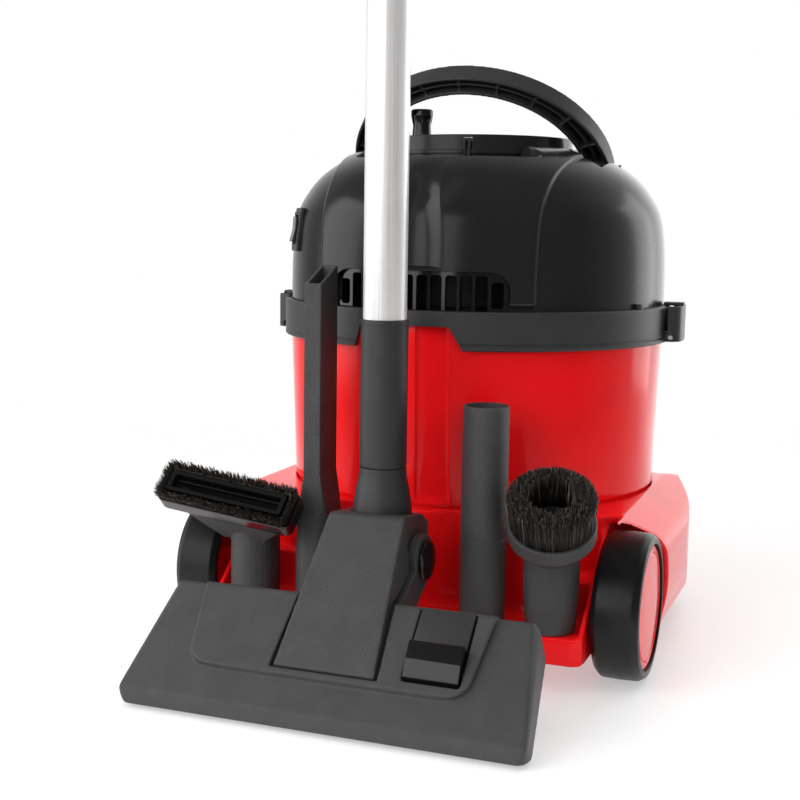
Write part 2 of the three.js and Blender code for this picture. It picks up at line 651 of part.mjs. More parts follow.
function buildHandle() {
  const steps = 18;
  const wall = 3;
  const [half, foot] = [HANDLE_THICK / 2, 8];
  const [oa, ob] = HANDLE_OUT;
  const [ia, ib] = HANDLE_IN;
  const body = upright(arch(oa, ob, ia, ib, foot, steps), -half, half);
  const hollow = arch(oa - wall, ob - wall, ia + wall, ib + wall, 0, steps);
  const channel = common(
    upright(hollow, half - 12.5, half + 1),
    block(-oa, oa, 12, ob, -half, half + 2),
  );
  const rib = 0.8;
  const [ma, mb] = [(oa + ia) / 2, (ob + ib) / 2];
  const keel = upright(arch(ma + rib, mb + rib, ma - rib, mb - rib, 0, steps), half - 14, half - 2.5);
  const cross = [];
  for (let i = 1; i < 10; i += 1) {
    const angle = (Math.PI * i) / 10;
    cross.push(box(50, 2 * rib, 11.5, 0, 0, half - 8.2)
      .rotateZ(angle)
      .translate(ma * Math.cos(angle), mb * Math.sin(angle), 0));
  }
  const trough = cut(channel, keel, ...cross);
  const eye = rod('x', 3.3, -oa - 1, oa + 1, [0, 0], 12);
  return cut(body, trough, eye);
}

const handleGroup = new THREE.Group();
handleGroup.position.set(0, HANDLE_Y, HANDLE_Z);
handleGroup.rotation.x = Math.PI / 2 + HANDLE_LEAN;
machine.add(handleGroup);
piece('carry_handle', buildHandle(), MATT_BLACK, handleGroup);
piece('left_handle_pin', rod('x', 3, -122.5, -91, [HANDLE_Y, HANDLE_Z], 12), STEEL);
piece('right_handle_pin', rod('x', 3, 91, 122.5, [HANDLE_Y, HANDLE_Z], 12), STEEL);

// ---- power switch -------------------------------------------------------------------------

function buildBezel() {
  const skin = cut(domeSolid(3), domeSolid(GAP));
  const flange = common(skin, box(24, 40, 36, 0, -155, SWITCH_Z).rotateZ(SWITCH_ANGLE));
  const frame = box(19.4, 9, 29.4, 0, -156.6, SWITCH_Z).rotateZ(SWITCH_ANGLE);
  return cut(join(flange, frame), box(14, 30, 24, 0, -156, SWITCH_Z).rotateZ(SWITCH_ANGLE));
}

piece('switch_bezel', buildBezel(), MATT_BLACK);

const rockerSide = outline([[-163, -10.8], [-166.5, -10.2], [-163.8, 0], [-163, 10.8], [-156.5, 9],
  [-155, 0], [-156.5, -9]]);
const rocker = alongX(rockerSide, -6.6, 6.6).translate(0, 0, SWITCH_Z).rotateZ(SWITCH_ANGLE);
piece('power_rocker', rocker, GLOSS_BLACK);

// ---- wand, cuff and elbow -----------------------------------------------------------------

const wandAt = new THREE.Group();
wandAt.position.set(0, WAND_Y, 0);
machine.add(wandAt);

const [tubeLow, tubeHigh] = LOWER_TUBE;
const lower = ring([[WAND_R - WAND_WALL, tubeLow], [WAND_R, tubeLow], [WAND_R, tubeHigh],
  [WAND_R - WAND_WALL, tubeHigh]], 20);
piece('wand_lower_tube', lower, CHROME, wandAt);

const [spigot, upperTop] = UPPER_TUBE;
const upper = ring([[13.6, spigot], [14.6, spigot], [14.6, tubeHigh + GAP], [WAND_R, tubeHigh + 2],
  [WAND_R, upperTop], [WAND_R - WAND_WALL, upperTop], [WAND_R - WAND_WALL, tubeHigh + 2.6],
  [13.6, tubeHigh + GAP]], 20);
piece('wand_upper_tube', upper, CHROME, wandAt);

piece('wand_cuff', ring([[14, CUFF_LOW + GAP], [CUFF_R, CUFF_LOW + GAP], [CUFF_R, CUFF_TOP - 1],
  [CUFF_R - 0.4, CUFF_TOP], [WAND_R + GAP, CUFF_TOP], [WAND_R + GAP, tubeLow - GAP],
  [14, tubeLow - GAP]], 20), MATT_BLACK, wandAt);

piece('elbow_neck', ring([[14, 118.6], [22, 118.6], [22, 128], [20.3, 142], [CUFF_R, 158],
  [CUFF_R, CUFF_LOW], [14, CUFF_LOW]], 20), MATT_BLACK, wandAt);

// The floor tool's own frame: y from its front edge towards its back, z away from its sole.
function toolGroup() {
  const group = new THREE.Group();
  group.position.set(0, TOOL_FRONT_Y, TOOL_FRONT_Z);
  group.rotation.x = TOOL_TILT;
  machine.add(group);
  return group;
}

function inToolFrame(y, z) {
  const [dy, dz] = [y - TOOL_FRONT_Y, z - TOOL_FRONT_Z];
  const [c, s] = [Math.cos(TOOL_TILT), Math.sin(TOOL_TILT)];
  return [dy * c + dz * s, dz * c - dy * s];
}

const knuckle = inToolFrame(KNUCKLE_Y, KNUCKLE_Z);

function surfaceZ(y) {
  return TOOL_FRONT_H + TOOL_SLOPE * y;
}

function toToolFrame(geometry) {
  return geometry
    .translate(0, -TOOL_FRONT_Y, -TOOL_FRONT_Z)
    .applyMatrix4(new THREE.Matrix4().makeRotationX(-TOOL_TILT));
}

// The slanted shield in front of the elbow, with the barrel and the socket the neck sits in.
function buildElbowHousing() {
  const shieldSide = outline([[23.6, surfaceZ(23.6) + 0.6], [23.6, 29.6], inToolFrame(-254, 130.5),
    inToolFrame(-249.6, 131.6), inToolFrame(-249.6, 92), [105.5, 30.2], [84, surfaceZ(84) + 0.6]]);
  const taper = alongY(outline([[-37.5, 36], [-29.2, 132], [29.2, 132], [37.5, 36]]), -345, -190);
  const shield = common(alongX(shieldSide, -45, 45), toToolFrame(taper));
  const barrel = toToolFrame(rod('x', KNUCKLE_R, -KNUCKLE_HALF, KNUCKLE_HALF,
    [KNUCKLE_Y, KNUCKLE_Z], 20));
  const collarSide = outline([[-251, 88], [-251, 131.5], [-212, 127], [-197, 118], [-197, 104],
    [-212, 90]]);
  const saddle = toToolFrame(alongX(collarSide, -KNUCKLE_HALF, KNUCKLE_HALF));
  const socket = toToolFrame(rod('z', 22.3, 118.2, 140, [0, WAND_Y], 20));
  const duct = toToolFrame(rod('z', 13, 104, 140, [0, WAND_Y], 20));
  const bore = toToolFrame(rod('x', 6.3, -50, 50, [KNUCKLE_Y, KNUCKLE_Z], 16));
  const tongue = join(
    toToolFrame(block(-3.5, 3.5, -200, -188, DOCK_LOW + GAP, DOCK_LOW + 20)),
    toToolFrame(block(-8.4, 8.4, -191.5, -185, DOCK_LOW + GAP, DOCK_LOW + 20)),
  );
  return cut(join(shield, barrel, saddle, tongue), socket, duct, bore);
}

piece('elbow_housing', buildElbowHousing(), DARK_GREY, toolGroup());

const pinHead = (x0, x1) => rod('x', 15, x0, x1, [KNUCKLE_Y, KNUCKLE_Z], 20);
const elbowPin = join(
  rod('x', 6, -39, 39, [KNUCKLE_Y, KNUCKLE_Z], 16),
  pinHead(-40, -36.6),
  pinHead(36.6, 40),
);
piece('elbow_pin', elbowPin, GLOSS_BLACK);

// ---- floor tool ---------------------------------------------------------------------------

const floorTool = toolGroup();

// The tool's outer form, shrunk by `inset`; it runs below the sole when it is a cutter.
function toolForm(inset) {
  const low = inset > 0 ? -3 : 1;
  const top = (y) => surfaceZ(y) - inset;
  const side = outline([[inset, low], [inset, top(0) - 2.5], [inset + 2.5, top(2.5)],
    [TOOL_DEPTH - 3 - inset, top(TOOL_DEPTH - 3)], [TOOL_DEPTH - inset, top(TOOL_DEPTH) - 3],
    [TOOL_DEPTH - inset, low]]);
  const plan = outline([[-TOOL_HALF + 6 + inset, inset], [TOOL_HALF - 6 - inset, inset],
    [TOOL_HALF - inset, 6 + inset], [TOOL_BACK_HALF - inset, TOOL_DEPTH - 7],
    [TOOL_BACK_HALF - 7 - inset, TOOL_DEPTH - inset], [-TOOL_BACK_HALF + 7 + inset, TOOL_DEPTH - inset],
    [-TOOL_BACK_HALF + inset, TOOL_DEPTH - 7], [-TOOL_HALF + inset, 6 + inset]]);
  const across = outline([[-TOOL_HALF + inset, low], [TOOL_HALF - inset, low],
    [TOOL_HALF - 1 - inset, 19], [131 - inset, 38], [-131 + inset, 38], [1 + inset - TOOL_HALF, 19]]);
  return common(alongX(side, -TOOL_HALF, TOOL_HALF), upright(plan, low, 40), alongY(across, -1, 90));
}

function plateau() {
  const top = (y) => surfaceZ(y) + PLATEAU_RISE;
  const side = outline([[17, surfaceZ(17) - 1.5], [19, top(19)], [TOOL_DEPTH - 4, top(TOOL_DEPTH - 4)],
    [TOOL_DEPTH - 1, surfaceZ(TOOL_DEPTH) + 1], [TOOL_DEPTH - 1, surfaceZ(TOOL_DEPTH) - 2]]);
  const plan = outline([[-98, 17], [98, 17], [104, 24], [111, TOOL_DEPTH], [-111, TOOL_DEPTH],
    [-104, 24]]);
  return common(alongX(side, -112, 112), upright(plan, 18, 50));
}

function buildToolBody() {
  const shell = cut(join(toolForm(0), plateau()), toolForm(TOOL_WALL));
  const arms = [];
  for (const side of [-1, 1]) {
    const [x0, x1] = side < 0
      ? [-36.3, -KNUCKLE_HALF - GAP]
      : [KNUCKLE_HALF + GAP, 36.3];
    arms.push(rod('x', KNUCKLE_R, x0, x1, knuckle, 20));
    arms.push(alongX(outline([[79, 3], [knuckle[0], 1], [knuckle[0], 25], [118, 26], [100, 27],
      [83, 31]]), x0, x1));
  }
  const pocketPlan = outline([[-40, 22.5], [40, 22.5], [36, TOOL_DEPTH + 1], [-36, TOOL_DEPTH + 1]]);
  const pocketSide = outline([[22.5, surfaceZ(22.5)], [22.5, 50], [TOOL_DEPTH + 1, 60],
    [TOOL_DEPTH + 1, surfaceZ(TOOL_DEPTH + 1)]]);
  const pocket = common(upright(pocketPlan, 20, 60), alongX(pocketSide, -41, 41));
  const throat = block(-18, 18, 40, 72, 20, 45);
  const { x0, x1, y0, y1 } = PEDAL;
  const well = block(x0 - 1, x1 + 1, y0 - 1, y1 + 1, 10, 50);
  const bore = rod('x', 6.3, -50, 50, knuckle, 16);
  const ears = [[x0 - 4, x0 - 1], [x1 + 1, x1 + 4]].map(([a, b]) => block(a, b, PEDAL.pivot - 5,
    PEDAL.pivot + 5, 17, 28));
  const pivotHole = rod('x', 2.3, x0 - 5, x1 + 5, [PEDAL.pivot, 22], 10);
  const body = cut(join(shell, ...arms), pocket, throat, well);
  return cut(join(body, ...ears), bore, pivotHole);
}

piece('floor_tool_body', buildToolBody(), DARK_GREY, floorTool);

function buildSole() {
  const plan = outline([[-TOOL_HALF + 11, 3], [TOOL_HALF - 11, 3], [TOOL_HALF - 4, 9],
    [TOOL_BACK_HALF - 4, TOOL_DEPTH - 10], [TOOL_BACK_HALF - 9, TOOL_DEPTH - 3.2],
    [-TOOL_BACK_HALF + 9, TOOL_DEPTH - 3.2], [-TOOL_BACK_HALF + 4, TOOL_DEPTH - 10],
    [-TOOL_HALF + 4, 9]]);
  const plate = upright(plan, 0.2, 2.6);
  const mouth = block(-128, 128, 28, 42, -1, 4);
  const slots = BRISTLE_ROWS.map(([y0, y1]) => block(-134.6, 134.6, y0 - 0.5, y1 + 0.5, -1, 4));
  const rollers = [-1, 1].map((side) => box(15, 16, 8, side * 112, 71.5, 1));
  return cut(plate, mouth, ...slots, ...rollers);
}

piece('sole_plate', buildSole(), STEEL, floorTool);

BRISTLE_ROWS.forEach(([y0, y1], i) => {
  piece(i ? 'rear_bristle_strip' : 'front_bristle_strip', block(-134, 134, y0, y1, 0.4, 10),
    BRISTLE, floorTool);
});

for (const side of [-1, 1]) {
  const x = side * 112;
  piece(side < 0 ? 'left_tool_roller' : 'right_tool_roller',
    rod('x', 6, x - 6, x + 6, [71.5, 5.6], 20), RUBBER, floorTool);
}

function buildPedal() {
  const { x0, x1, y0, y1, pivot, rise } = PEDAL;
  const top = (y) => surfaceZ(y) + PLATEAU_RISE;
  const side = outline([[y0, top(y0) - 5], [y0 + 1, top(y0) + rise + 3], [y0 + 4, top(y0) + rise + 5],
    [pivot - 4, top(pivot) + rise + 2], [pivot, top(pivot) + 1.4], [y1 - 2, top(y1) + 1.6],
    [y1, top(y1) - 1], [y1, top(y1) - 5], [pivot + 4, 20], [pivot, 18.6], [pivot - 4, 20]]);
  const bore = rod('x', 2.3, x0 - 5, x1 + 5, [pivot, 22], 10);
  return cut(alongX(side, x0, x1), bore);
}

piece('rocker_pedal', buildPedal(), GLOSS_BLACK, floorTool);
piece('pedal_pin', rod('x', 2, PEDAL.x0 - 4, PEDAL.x1 + 4, [PEDAL.pivot, 22], 10), STEEL, floorTool);

// ---- stowed hand tools --------------------------------------------------------------------

function standing(x) {
  const group = new THREE.Group();
  group.position.set(x, STOW_Y, STOW_Z);
  machine.add(group);
  return group;
}

// Flat crevice tool: a round socket that narrows to a flat pipe with a slanted mouth.
function buildCrevice() {
  const form = (inset, z0) => {
    const [x1, x2, y2] = [18.6 - inset, 7.1 - inset, 16 - inset];
    const wide = [[-x1, z0], [-x1, 32], [-x2, 104], [-x2, 280], [x2, 280], [x2, 104], [x1, 32],
      [x1, z0]];
    const deep = [[-x1, z0], [-x1, 32], [-y2, 104], [-y2, 250], [y2, 264], [y2, 104], [x1, 32],
      [x1, z0]];
    const slant = inset > 0 ? deep.map(([y, z]) => [y, z > 200 ? z + 30 : z]) : deep;
    return common(
      alongY(outline(wide), -25, 25),
      alongX(outline(slant), -25, 25),
      rod('z', x1, z0, 290, [0, 0], 24),
    );
  };
  return cut(form(0, 0), form(2.6, -1));
}

piece('crevice_tool', buildCrevice(), DARK_GREY, standing(CREVICE_X));

// Tapered tube that joins hose ends of two sizes, open right through.
const adapter = ring([[SOCKET_R, 0], [17.2, 0], [17.5, 60], [17.3, 163], [16.6, 164.6],
  [15.6, 164.6], [15.6, 60]], 20);
piece('hose_adapter', adapter, DARK_GREY, standing(ADAPTER_X));

// Moves a shape laid out around the mouth's own axis (z outwards) into the nozzle's place.
function atMouth(geometry) {
  return geometry
    .rotateX(NOZZLE_LEAN)
    .rotateY(NOZZLE_ROLL)
    .translate(-6, -17, 66);
}

function buildNozzle() {
  const neck = turned([[0, 0], [19.6, 0], [19.6, 42], [18.6, 66], [0, 66]], 28);
  const fan = outline([[-17, -22], [17, -22], [51, 20], [51, 29], [-51, 29], [-51, 20]]);
  const flare = atMouth(alongY(fan, -10.5, 10.5));
  const fanIn = outline([[-13, -20], [13, -20], [46.5, 20], [46.5, 32], [-46.5, 32], [-46.5, 20]]);
  const inside = atMouth(alongY(fanIn, -6.5, 6.5));
  return cut(join(neck, flare), inside, rod('z', SOCKET_R, -1, 50, [0, 0], 20),
    rod('z', 9, 40, 62, [0, 0], 16));
}

const nozzleAt = standing(NOZZLE_X);
piece('upholstery_nozzle', buildNozzle(), DARK_GREY, nozzleAt);

const frameOuter = upright(roundedRect(115, 32, 7), 18, 31);
const frameInner = upright(roundedRect(102.8, 21.8, 1), 17, 33);
piece('nozzle_brush_frame', cut(atMouth(frameOuter), atMouth(frameInner)), MATT_BLACK, nozzleAt);

const tuftOuter = upright(roundedRect(113, 30.4, 6), 31.3, 40);
const tuftInner = upright(roundedRect(99, 18, 3), 31, 42);
piece('nozzle_bristles', cut(atMouth(tuftOuter), atMouth(tuftInner)), BRISTLE, nozzleAt);

function atDuster(geometry) {
  return geometry.rotateX(DUSTER_LEAN).translate(0, -13, 76).rotateZ(DUSTER_TURN);
}

function buildDuster() {
  const neck = turned([[0, 0], [18.4, 0], [20.6, 30], [20.6, 56], [17, 66], [0, 66]], 20);
  const cup = atDuster(turned([[0, -17], [19, -17], [32.4, -1], [32.4, 11], [0, 11]], 20));
  const throat = atDuster(rod('z', 15, 1, 13, [0, 0], 16));
  const passage = atDuster(rod('z', 11, -18, 3, [0, 0], 12));
  return cut(join(neck, cup), throat, passage, rod('z', SOCKET_R, -1, 50, [0, 0], 20));
}

const dusterAt = standing(DUSTER_X);
piece('dusting_brush', buildDuster(), DARK_GREY, dusterAt);
const tuft = ring([[15.4, 11.3], [30.6, 11.3], [32.8, 36], [31, 40], [16, 38.5]], 20);
piece('dusting_bristles', atDuster(tuft), BRISTLE, dusterAt);

// ---- origin -------------------------------------------------------------------------------

const part = new THREE.Group();
part.add(machine);
part.updateMatrixWorld(true);
const bounds = new THREE.Box3().setFromObject(part, true);
machine.position.set(
  -(bounds.min.x + bounds.max.x) / 2,
  -(bounds.min.y + bounds.max.y) / 2,
  -bounds.min.z,
);

export default part;
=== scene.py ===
"""Looks of a drum vacuum cleaner with parked wand and stowed tools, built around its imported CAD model.

Shapes are laid out in millimetres about the drum's upright axis, x to the right seen from the
rear, -y to the rear, z up from the floor, and are placed in the frame by to_frame().
"""

import random
from math import ceil, cos, degrees, hypot, pi, radians, sin, sqrt, tan

import bmesh
import bpy
from mathutils import Matrix, Vector, noise


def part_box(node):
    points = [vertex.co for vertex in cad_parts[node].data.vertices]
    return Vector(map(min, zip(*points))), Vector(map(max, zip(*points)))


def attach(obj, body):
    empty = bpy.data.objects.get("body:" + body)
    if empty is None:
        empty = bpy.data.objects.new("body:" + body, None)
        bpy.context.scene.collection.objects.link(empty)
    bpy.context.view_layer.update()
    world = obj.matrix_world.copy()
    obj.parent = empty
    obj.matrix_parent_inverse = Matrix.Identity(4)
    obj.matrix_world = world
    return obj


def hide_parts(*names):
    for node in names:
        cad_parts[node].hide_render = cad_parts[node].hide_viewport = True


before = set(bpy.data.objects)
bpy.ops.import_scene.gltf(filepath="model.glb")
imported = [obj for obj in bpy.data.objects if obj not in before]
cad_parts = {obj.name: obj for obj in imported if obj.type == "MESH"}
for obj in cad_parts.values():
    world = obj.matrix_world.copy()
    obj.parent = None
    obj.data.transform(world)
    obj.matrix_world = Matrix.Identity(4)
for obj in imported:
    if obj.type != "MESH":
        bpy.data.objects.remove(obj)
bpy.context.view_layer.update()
MM = 0.001
FLOOR_R, FADE_FROM, FADE_TO = 2.4, 0.42, 1.15  # metres
drum_low, drum_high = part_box("drum")
AXIS_Y = (drum_low.y + drum_high.y) / 2


def to_frame(x, y, z):
    return Vector((x * MM, y * MM + AXIS_Y, z * MM))


def to_mm(point):
    return Vector((point.x / MM, (point.y - AXIS_Y) / MM, point.z / MM))


# ---- camera, floor and light --------------------------------------------------------------


def make_camera():
    yaw, pitch, roll = radians(20.605), radians(7.763), radians(0.859)
    ahead = Vector((-sin(yaw) * cos(pitch), cos(yaw) * cos(pitch),
                    -sin(pitch)))
    level = Vector((cos(yaw), sin(yaw), 0))
    over = level.cross(ahead)
    right = cos(roll) * level + sin(roll) * over
    up = cos(roll) * over - sin(roll) * level
    data = bpy.data.cameras.new("camera")
    data.sensor_width = 36
    data.lens = 60.16
    data.clip_end = 50
    camera = bpy.data.objects.new("camera", data)
    bpy.context.scene.collection.objects.link(camera)
    turn = Matrix((right, up, -ahead)).transposed().to_4x4()
    camera.matrix_world = Matrix.Translation(to_frame(353.2, -1127.8, 344.0)) @ turn
    bpy.context.scene.camera = camera


def make_world():
    """White where the camera looks past the object; reflections see a backdrop on the far side."""
    world = bpy.data.worlds.new("studio")
    bpy.context.scene.world = world
    world.use_nodes = True
    nodes, links = world.node_tree.nodes, world.node_tree.links
    nodes.clear()
    where = nodes.new("ShaderNodeTexCoord")
    facing = nodes.new("ShaderNodeVectorMath")
    facing.operation = "DOT_PRODUCT"
    facing.inputs[1].default_value = Vector((0.10, 0.98, -0.10)).normalized()
    spread = nodes.new("ShaderNodeMapRange")
    spread.inputs["From Min"].default_value = -1
    ramp = nodes.new("ShaderNodeValToRGB")
    links.new(where.outputs["Generated"], facing.inputs[0])
    links.new(facing.outputs["Value"], spread.inputs["Value"])
    links.new(spread.outputs[0], ramp.inputs[0])
    stops = ramp.color_ramp.elements
    for place, grey in ((0.50, 0.07), (0.68, 0.24), (0.90, 0.55)):
        stops.new(place).color = (grey, grey, grey, 1)
    stops[0].color = (0.08, 0.08, 0.08, 1)
    stops[-1].position, stops[-1].color = 0.97, (1, 1, 1, 1)
    around = nodes.new("ShaderNodeBackground")
    around.inputs["Strength"].default_value = 1.8
    links.new(ramp.outputs[0], around.inputs["Color"])
    seen = nodes.new("ShaderNodeBackground")
    seen.inputs["Color"].default_value = (1, 1, 1, 1)
    path = nodes.new("ShaderNodeLightPath")
    mix = nodes.new("ShaderNodeMixShader")
    out = nodes.new("ShaderNodeOutputWorld")
    links.new(path.outputs["Is Camera Ray"], mix.inputs[0])
    links.new(around.outputs[0], mix.inputs[1])
    links.new(seen.outputs[0], mix.inputs[2])
    links.new(mix.outputs[0], out.inputs["Surface"])


def soft_box(name, place, target, width, height, watts, mirrored=False):
    data = bpy.data.lights.new(name, "AREA")
    data.shape = "RECTANGLE"
    data.size, data.size_y, data.energy = width, height, watts
    lamp = bpy.data.objects.new(name, data)
    bpy.context.scene.collection.objects.link(lamp)
    lamp.location = to_frame(*place)
    aim = to_frame(*target) - lamp.location
    lamp.rotation_mode = "QUATERNION"
    lamp.rotation_quaternion = aim.to_track_quat("-Z", "Y")
    lamp.visible_camera = False
    lamp.visible_glossy = mirrored


def make_floor():
    """A pale floor that fades into the white background well outside the object."""
    bpy.ops.mesh.primitive_circle_add(vertices=64, radius=FLOOR_R, fill_type="NGON")
    floor = bpy.context.object
    floor.name = "floor"
    floor.location.z = -0.0004
    material = bpy.data.materials.new("pale_floor")
    material.use_nodes = True
    nodes, links = material.node_tree.nodes, material.node_tree.links
    shader = nodes["Principled BSDF"]
    shader.inputs["Base Color"].default_value = (0.52, 0.52, 0.52, 1)
    shader.inputs["Emission Color"].default_value = (1, 1, 1, 1)
    shader.inputs["Emission Strength"].default_value = 0.42
    shader.inputs["Roughness"].default_value = 0.5
    shader.inputs["Specular IOR Level"].default_value = 0.2
    where = nodes.new("ShaderNodeTexCoord")
    length = nodes.new("ShaderNodeVectorMath")
    length.operation = "LENGTH"
    fade = nodes.new("ShaderNodeMapRange")
    fade.interpolation_type = "SMOOTHSTEP"
    fade.inputs["From Min"].default_value = FADE_FROM
    fade.inputs["From Max"].default_value = FADE_TO
    fade.inputs["To Min"].default_value = 1
    fade.inputs["To Max"].default_value = 0
    links.new(where.outputs["Object"], length.inputs[0])
    links.new(length.outputs["Value"], fade.inputs["Value"])
    links.new(fade.outputs[0], shader.inputs["Alpha"])
    floor.data.materials.append(material)


def make_studio():
    make_world()
    soft_box("key_light", (-1300, -1900, 1300), (0, -60, 220), 1.6, 1.6, 36)
    soft_box("fill_light", (1600, -1700, 900), (0, -60, 200), 1.6, 1.6, 15)
    soft_box("top_light", (0, -300, 2200), (0, 0, 200), 2.2, 2.2, 30)
    soft_box("left_panel", (-2100, -700, 800), (0, -60, 250), 1.4, 2.0, 20, mirrored=True)
    soft_box("tube_panel", (-700, -1990, 800), (0, -222, 420), 2.0, 1.4, 16, mirrored=True)
    soft_box("rim_light", (1300, 1300, 600), (120, 0, 200), 0.8, 1.4, 7, mirrored=True)
    make_floor()


make_camera()
make_studio()
bpy.context.scene.view_settings.view_transform = "Standard"

# ---- materials ----------------------------------------------------------------------------


class Graph:
    """A small builder for one material's nodes. Textures run in object space, in metres."""

    def __init__(self, name):
        self.material = bpy.data.materials.new(name)
        self.material.use_nodes = True
        self.nodes = self.material.node_tree.nodes
        self.links = self.material.node_tree.links
        self.shader = self.nodes["Principled BSDF"]
        self.where = self.nodes.new("ShaderNodeTexCoord").outputs["Object"]

    def stretched(self, scale):
        node = self.nodes.new("ShaderNodeMapping")
        node.inputs["Scale"].default_value = scale
        self.links.new(self.where, node.inputs["Vector"])
        return node.outputs[0]

    def noise(self, scale, detail=2, where=None):
        node = self.nodes.new("ShaderNodeTexNoise")
        node.inputs["Scale"].default_value = scale
        node.inputs["Detail"].default_value = detail
        self.links.new(where or self.where, node.inputs["Vector"])
        return node.outputs["Fac"]

    def cells(self, scale):
        node = self.nodes.new("ShaderNodeTexVoronoi")
        node.inputs["Scale"].default_value = scale
        self.links.new(self.where, node.inputs["Vector"])
        return node.outputs["Distance"]

    def ranged(self, value, low, high, start=0.3, end=0.7):
        node = self.nodes.new("ShaderNodeMapRange")
        for socket, number in zip(("From Min", "From Max", "To Min", "To Max"),
                                  (start, end, low, high)):
            node.inputs[socket].default_value = number
        self.links.new(value, node.inputs["Value"])
        return node.outputs[0]

    def blended(self, value, low, high):
        node = self.nodes.new("ShaderNodeValToRGB")
        node.color_ramp.elements[0].position = 0.3
        node.color_ramp.elements[1].position = 0.7
        node.color_ramp.elements[0].color = (*low, 1)
        node.color_ramp.elements[1].color = (*high, 1)
        self.links.new(value, node.inputs[0])
        return node.outputs[0]

    def bump(self, height, depth, strength=1.0, under=None):
        node = self.nodes.new("ShaderNodeBump")
        node.inputs["Distance"].default_value = depth
        node.inputs["Strength"].default_value = strength
        self.links.new(height, node.inputs["Height"])
        if under:
            self.links.new(under, node.inputs["Normal"])
        return node.outputs[0]

    def put(self, socket, value):
        if hasattr(value, "is_output"):
            self.links.new(value, self.shader.inputs[socket])
        else:
            self.shader.inputs[socket].default_value = value


def scaled(colour, factor):
    return tuple(min(1.0, c * factor) for c in colour)


def gloss(name, colour, rough, ripple=0.00006, shine=0.5):
    """Polished moulding: faint flow ripples, fine dust and hairline wear in the gloss."""
    g = Graph(name)
    g.put("Base Color", g.blended(g.noise(22, 3), scaled(colour, 0.94), scaled(colour, 1.05)))
    dust = g.noise(900, 3)
    g.put("Roughness", g.ranged(dust, rough * 0.8, rough * 1.35, 0.35, 0.75))
    waves = g.bump(g.noise(28, 1), ripple * 6, 0.4)
    g.put("Normal", g.bump(g.noise(2600, 2), ripple, 0.12, waves))
    g.put("Specular IOR Level", shine)
    return g.material


def spark(name, colour, rough, depth=0.00022, scale=1500, strength=0.6):
    """Spark-eroded moulding: a fine pebble grain with slightly worn high spots."""
    g = Graph(name)
    grain = g.cells(scale)
    g.put("Base Color", g.blended(g.noise(60, 4), scaled(colour, 0.88), scaled(colour, 1.12)))
    g.put("Roughness", g.ranged(grain, rough * 0.88, rough * 1.15, 0.1, 0.7))
    soft = g.bump(g.noise(scale * 0.35, 3), depth * 0.6, 0.4)
    g.put("Normal", g.bump(grain, depth, strength, soft))
    return g.material


def rubber(name, colour, rough):
    g = Graph(name)
    g.put("Base Color", g.blended(g.noise(140, 5), scaled(colour, 0.85), scaled(colour, 1.25)))
    g.put("Roughness", g.ranged(g.noise(350, 4), rough * 0.85, rough * 1.15))
    g.put("Specular IOR Level", 0.3)
    g.put("Normal", g.bump(g.noise(1400, 3), 0.00012, 0.4))
    return g.material


def metal(name, colour, rough, drawn, depth=0.00002, metallic=1.0):
    """Drawn or turned metal: streaks run along the long axis of `drawn`'s small scale."""
    g = Graph(name)
    streaks = g.noise(1.0, 4, g.stretched(drawn))
    g.put("Base Color", g.blended(g.noise(30, 3), scaled(colour, 0.95), colour))
    g.put("Metallic", metallic)
    g.put("Roughness", g.ranged(streaks, rough * 0.7, rough * 1.5))
    g.put("Normal", g.bump(streaks, depth, 0.5))
    return g.material


def fibre(name, shades):
    """Natural bristle: each hair takes its own shade, and darkens and lightens along itself."""
    g = Graph(name)
    hair = g.nodes.new("ShaderNodeNewGeometry").outputs["Random Per Island"]
    ramp = g.nodes.new("ShaderNodeValToRGB")
    for k, (place, shade) in enumerate(shades):
        stop = ramp.color_ramp.elements[k] if k < 2 else ramp.color_ramp.elements.new(place)
        stop.position, stop.color = place, (*shade, 1)
    g.links.new(hair, ramp.inputs[0])
    along = g.blended(g.noise(1.0, 2, g.stretched((900, 900, 300))), (0.45, 0.45, 0.45), (1, 1, 1))
    mix = g.nodes.new("ShaderNodeMix")
    mix.data_type, mix.blend_type = "RGBA", "MULTIPLY"
    mix.inputs["Factor"].default_value = 1
    g.links.new(ramp.outputs[0], mix.inputs["A"])
    g.links.new(along, mix.inputs["B"])
    g.put("Base Color", mix.outputs["Result"])
    g.put("Roughness", g.ranged(hair, 0.42, 0.68, 0, 1))
    return g.material


def cloth(name, colour):
    g = Graph(name)
    weave = g.noise(1.0, 2, g.stretched((1800, 1800, 2600)))
    g.put("Base Color", g.blended(g.noise(90, 5), scaled(colour, 0.82), scaled(colour, 1.06)))
    g.put("Roughness", 0.95)
    g.put("Sheen Weight", 0.25)
    g.put("Normal", g.bump(weave, 0.0003, 0.7, g.bump(g.noise(120, 3), 0.0012, 0.5)))
    return g.material


RED = gloss("red_gloss_plastic", (0.80, 0.0075, 0.010), 0.13, 0.00003, 0.2)
HEAD = gloss("head_black_plastic", (0.0115, 0.0115, 0.012), 0.22, 0.00002, 0.3)
SHINY = gloss("shiny_black_plastic", (0.005, 0.005, 0.0053), 0.12, 0.00002)
MATT = spark("matt_black_plastic", (0.021, 0.021, 0.0215), 0.46, 0.00010, 2400, 0.45)
BAND = spark("band_grey_plastic", (0.024, 0.024, 0.025), 0.42, 0.00010, 2400, 0.4)
TOOL = spark("tool_grey_plastic", (0.034, 0.034, 0.035), 0.48, 0.00030, 1400, 0.85)
RUBBER = rubber("black_rubber", (0.0045, 0.0045, 0.005), 0.36)
CHROME = metal("satin_tube", (0.90, 0.885, 0.875), 0.34, (700, 700, 6), 0.000006, 0.6)
STEEL = metal("turned_steel", (0.52, 0.53, 0.54), 0.26, (1200, 60, 1200))
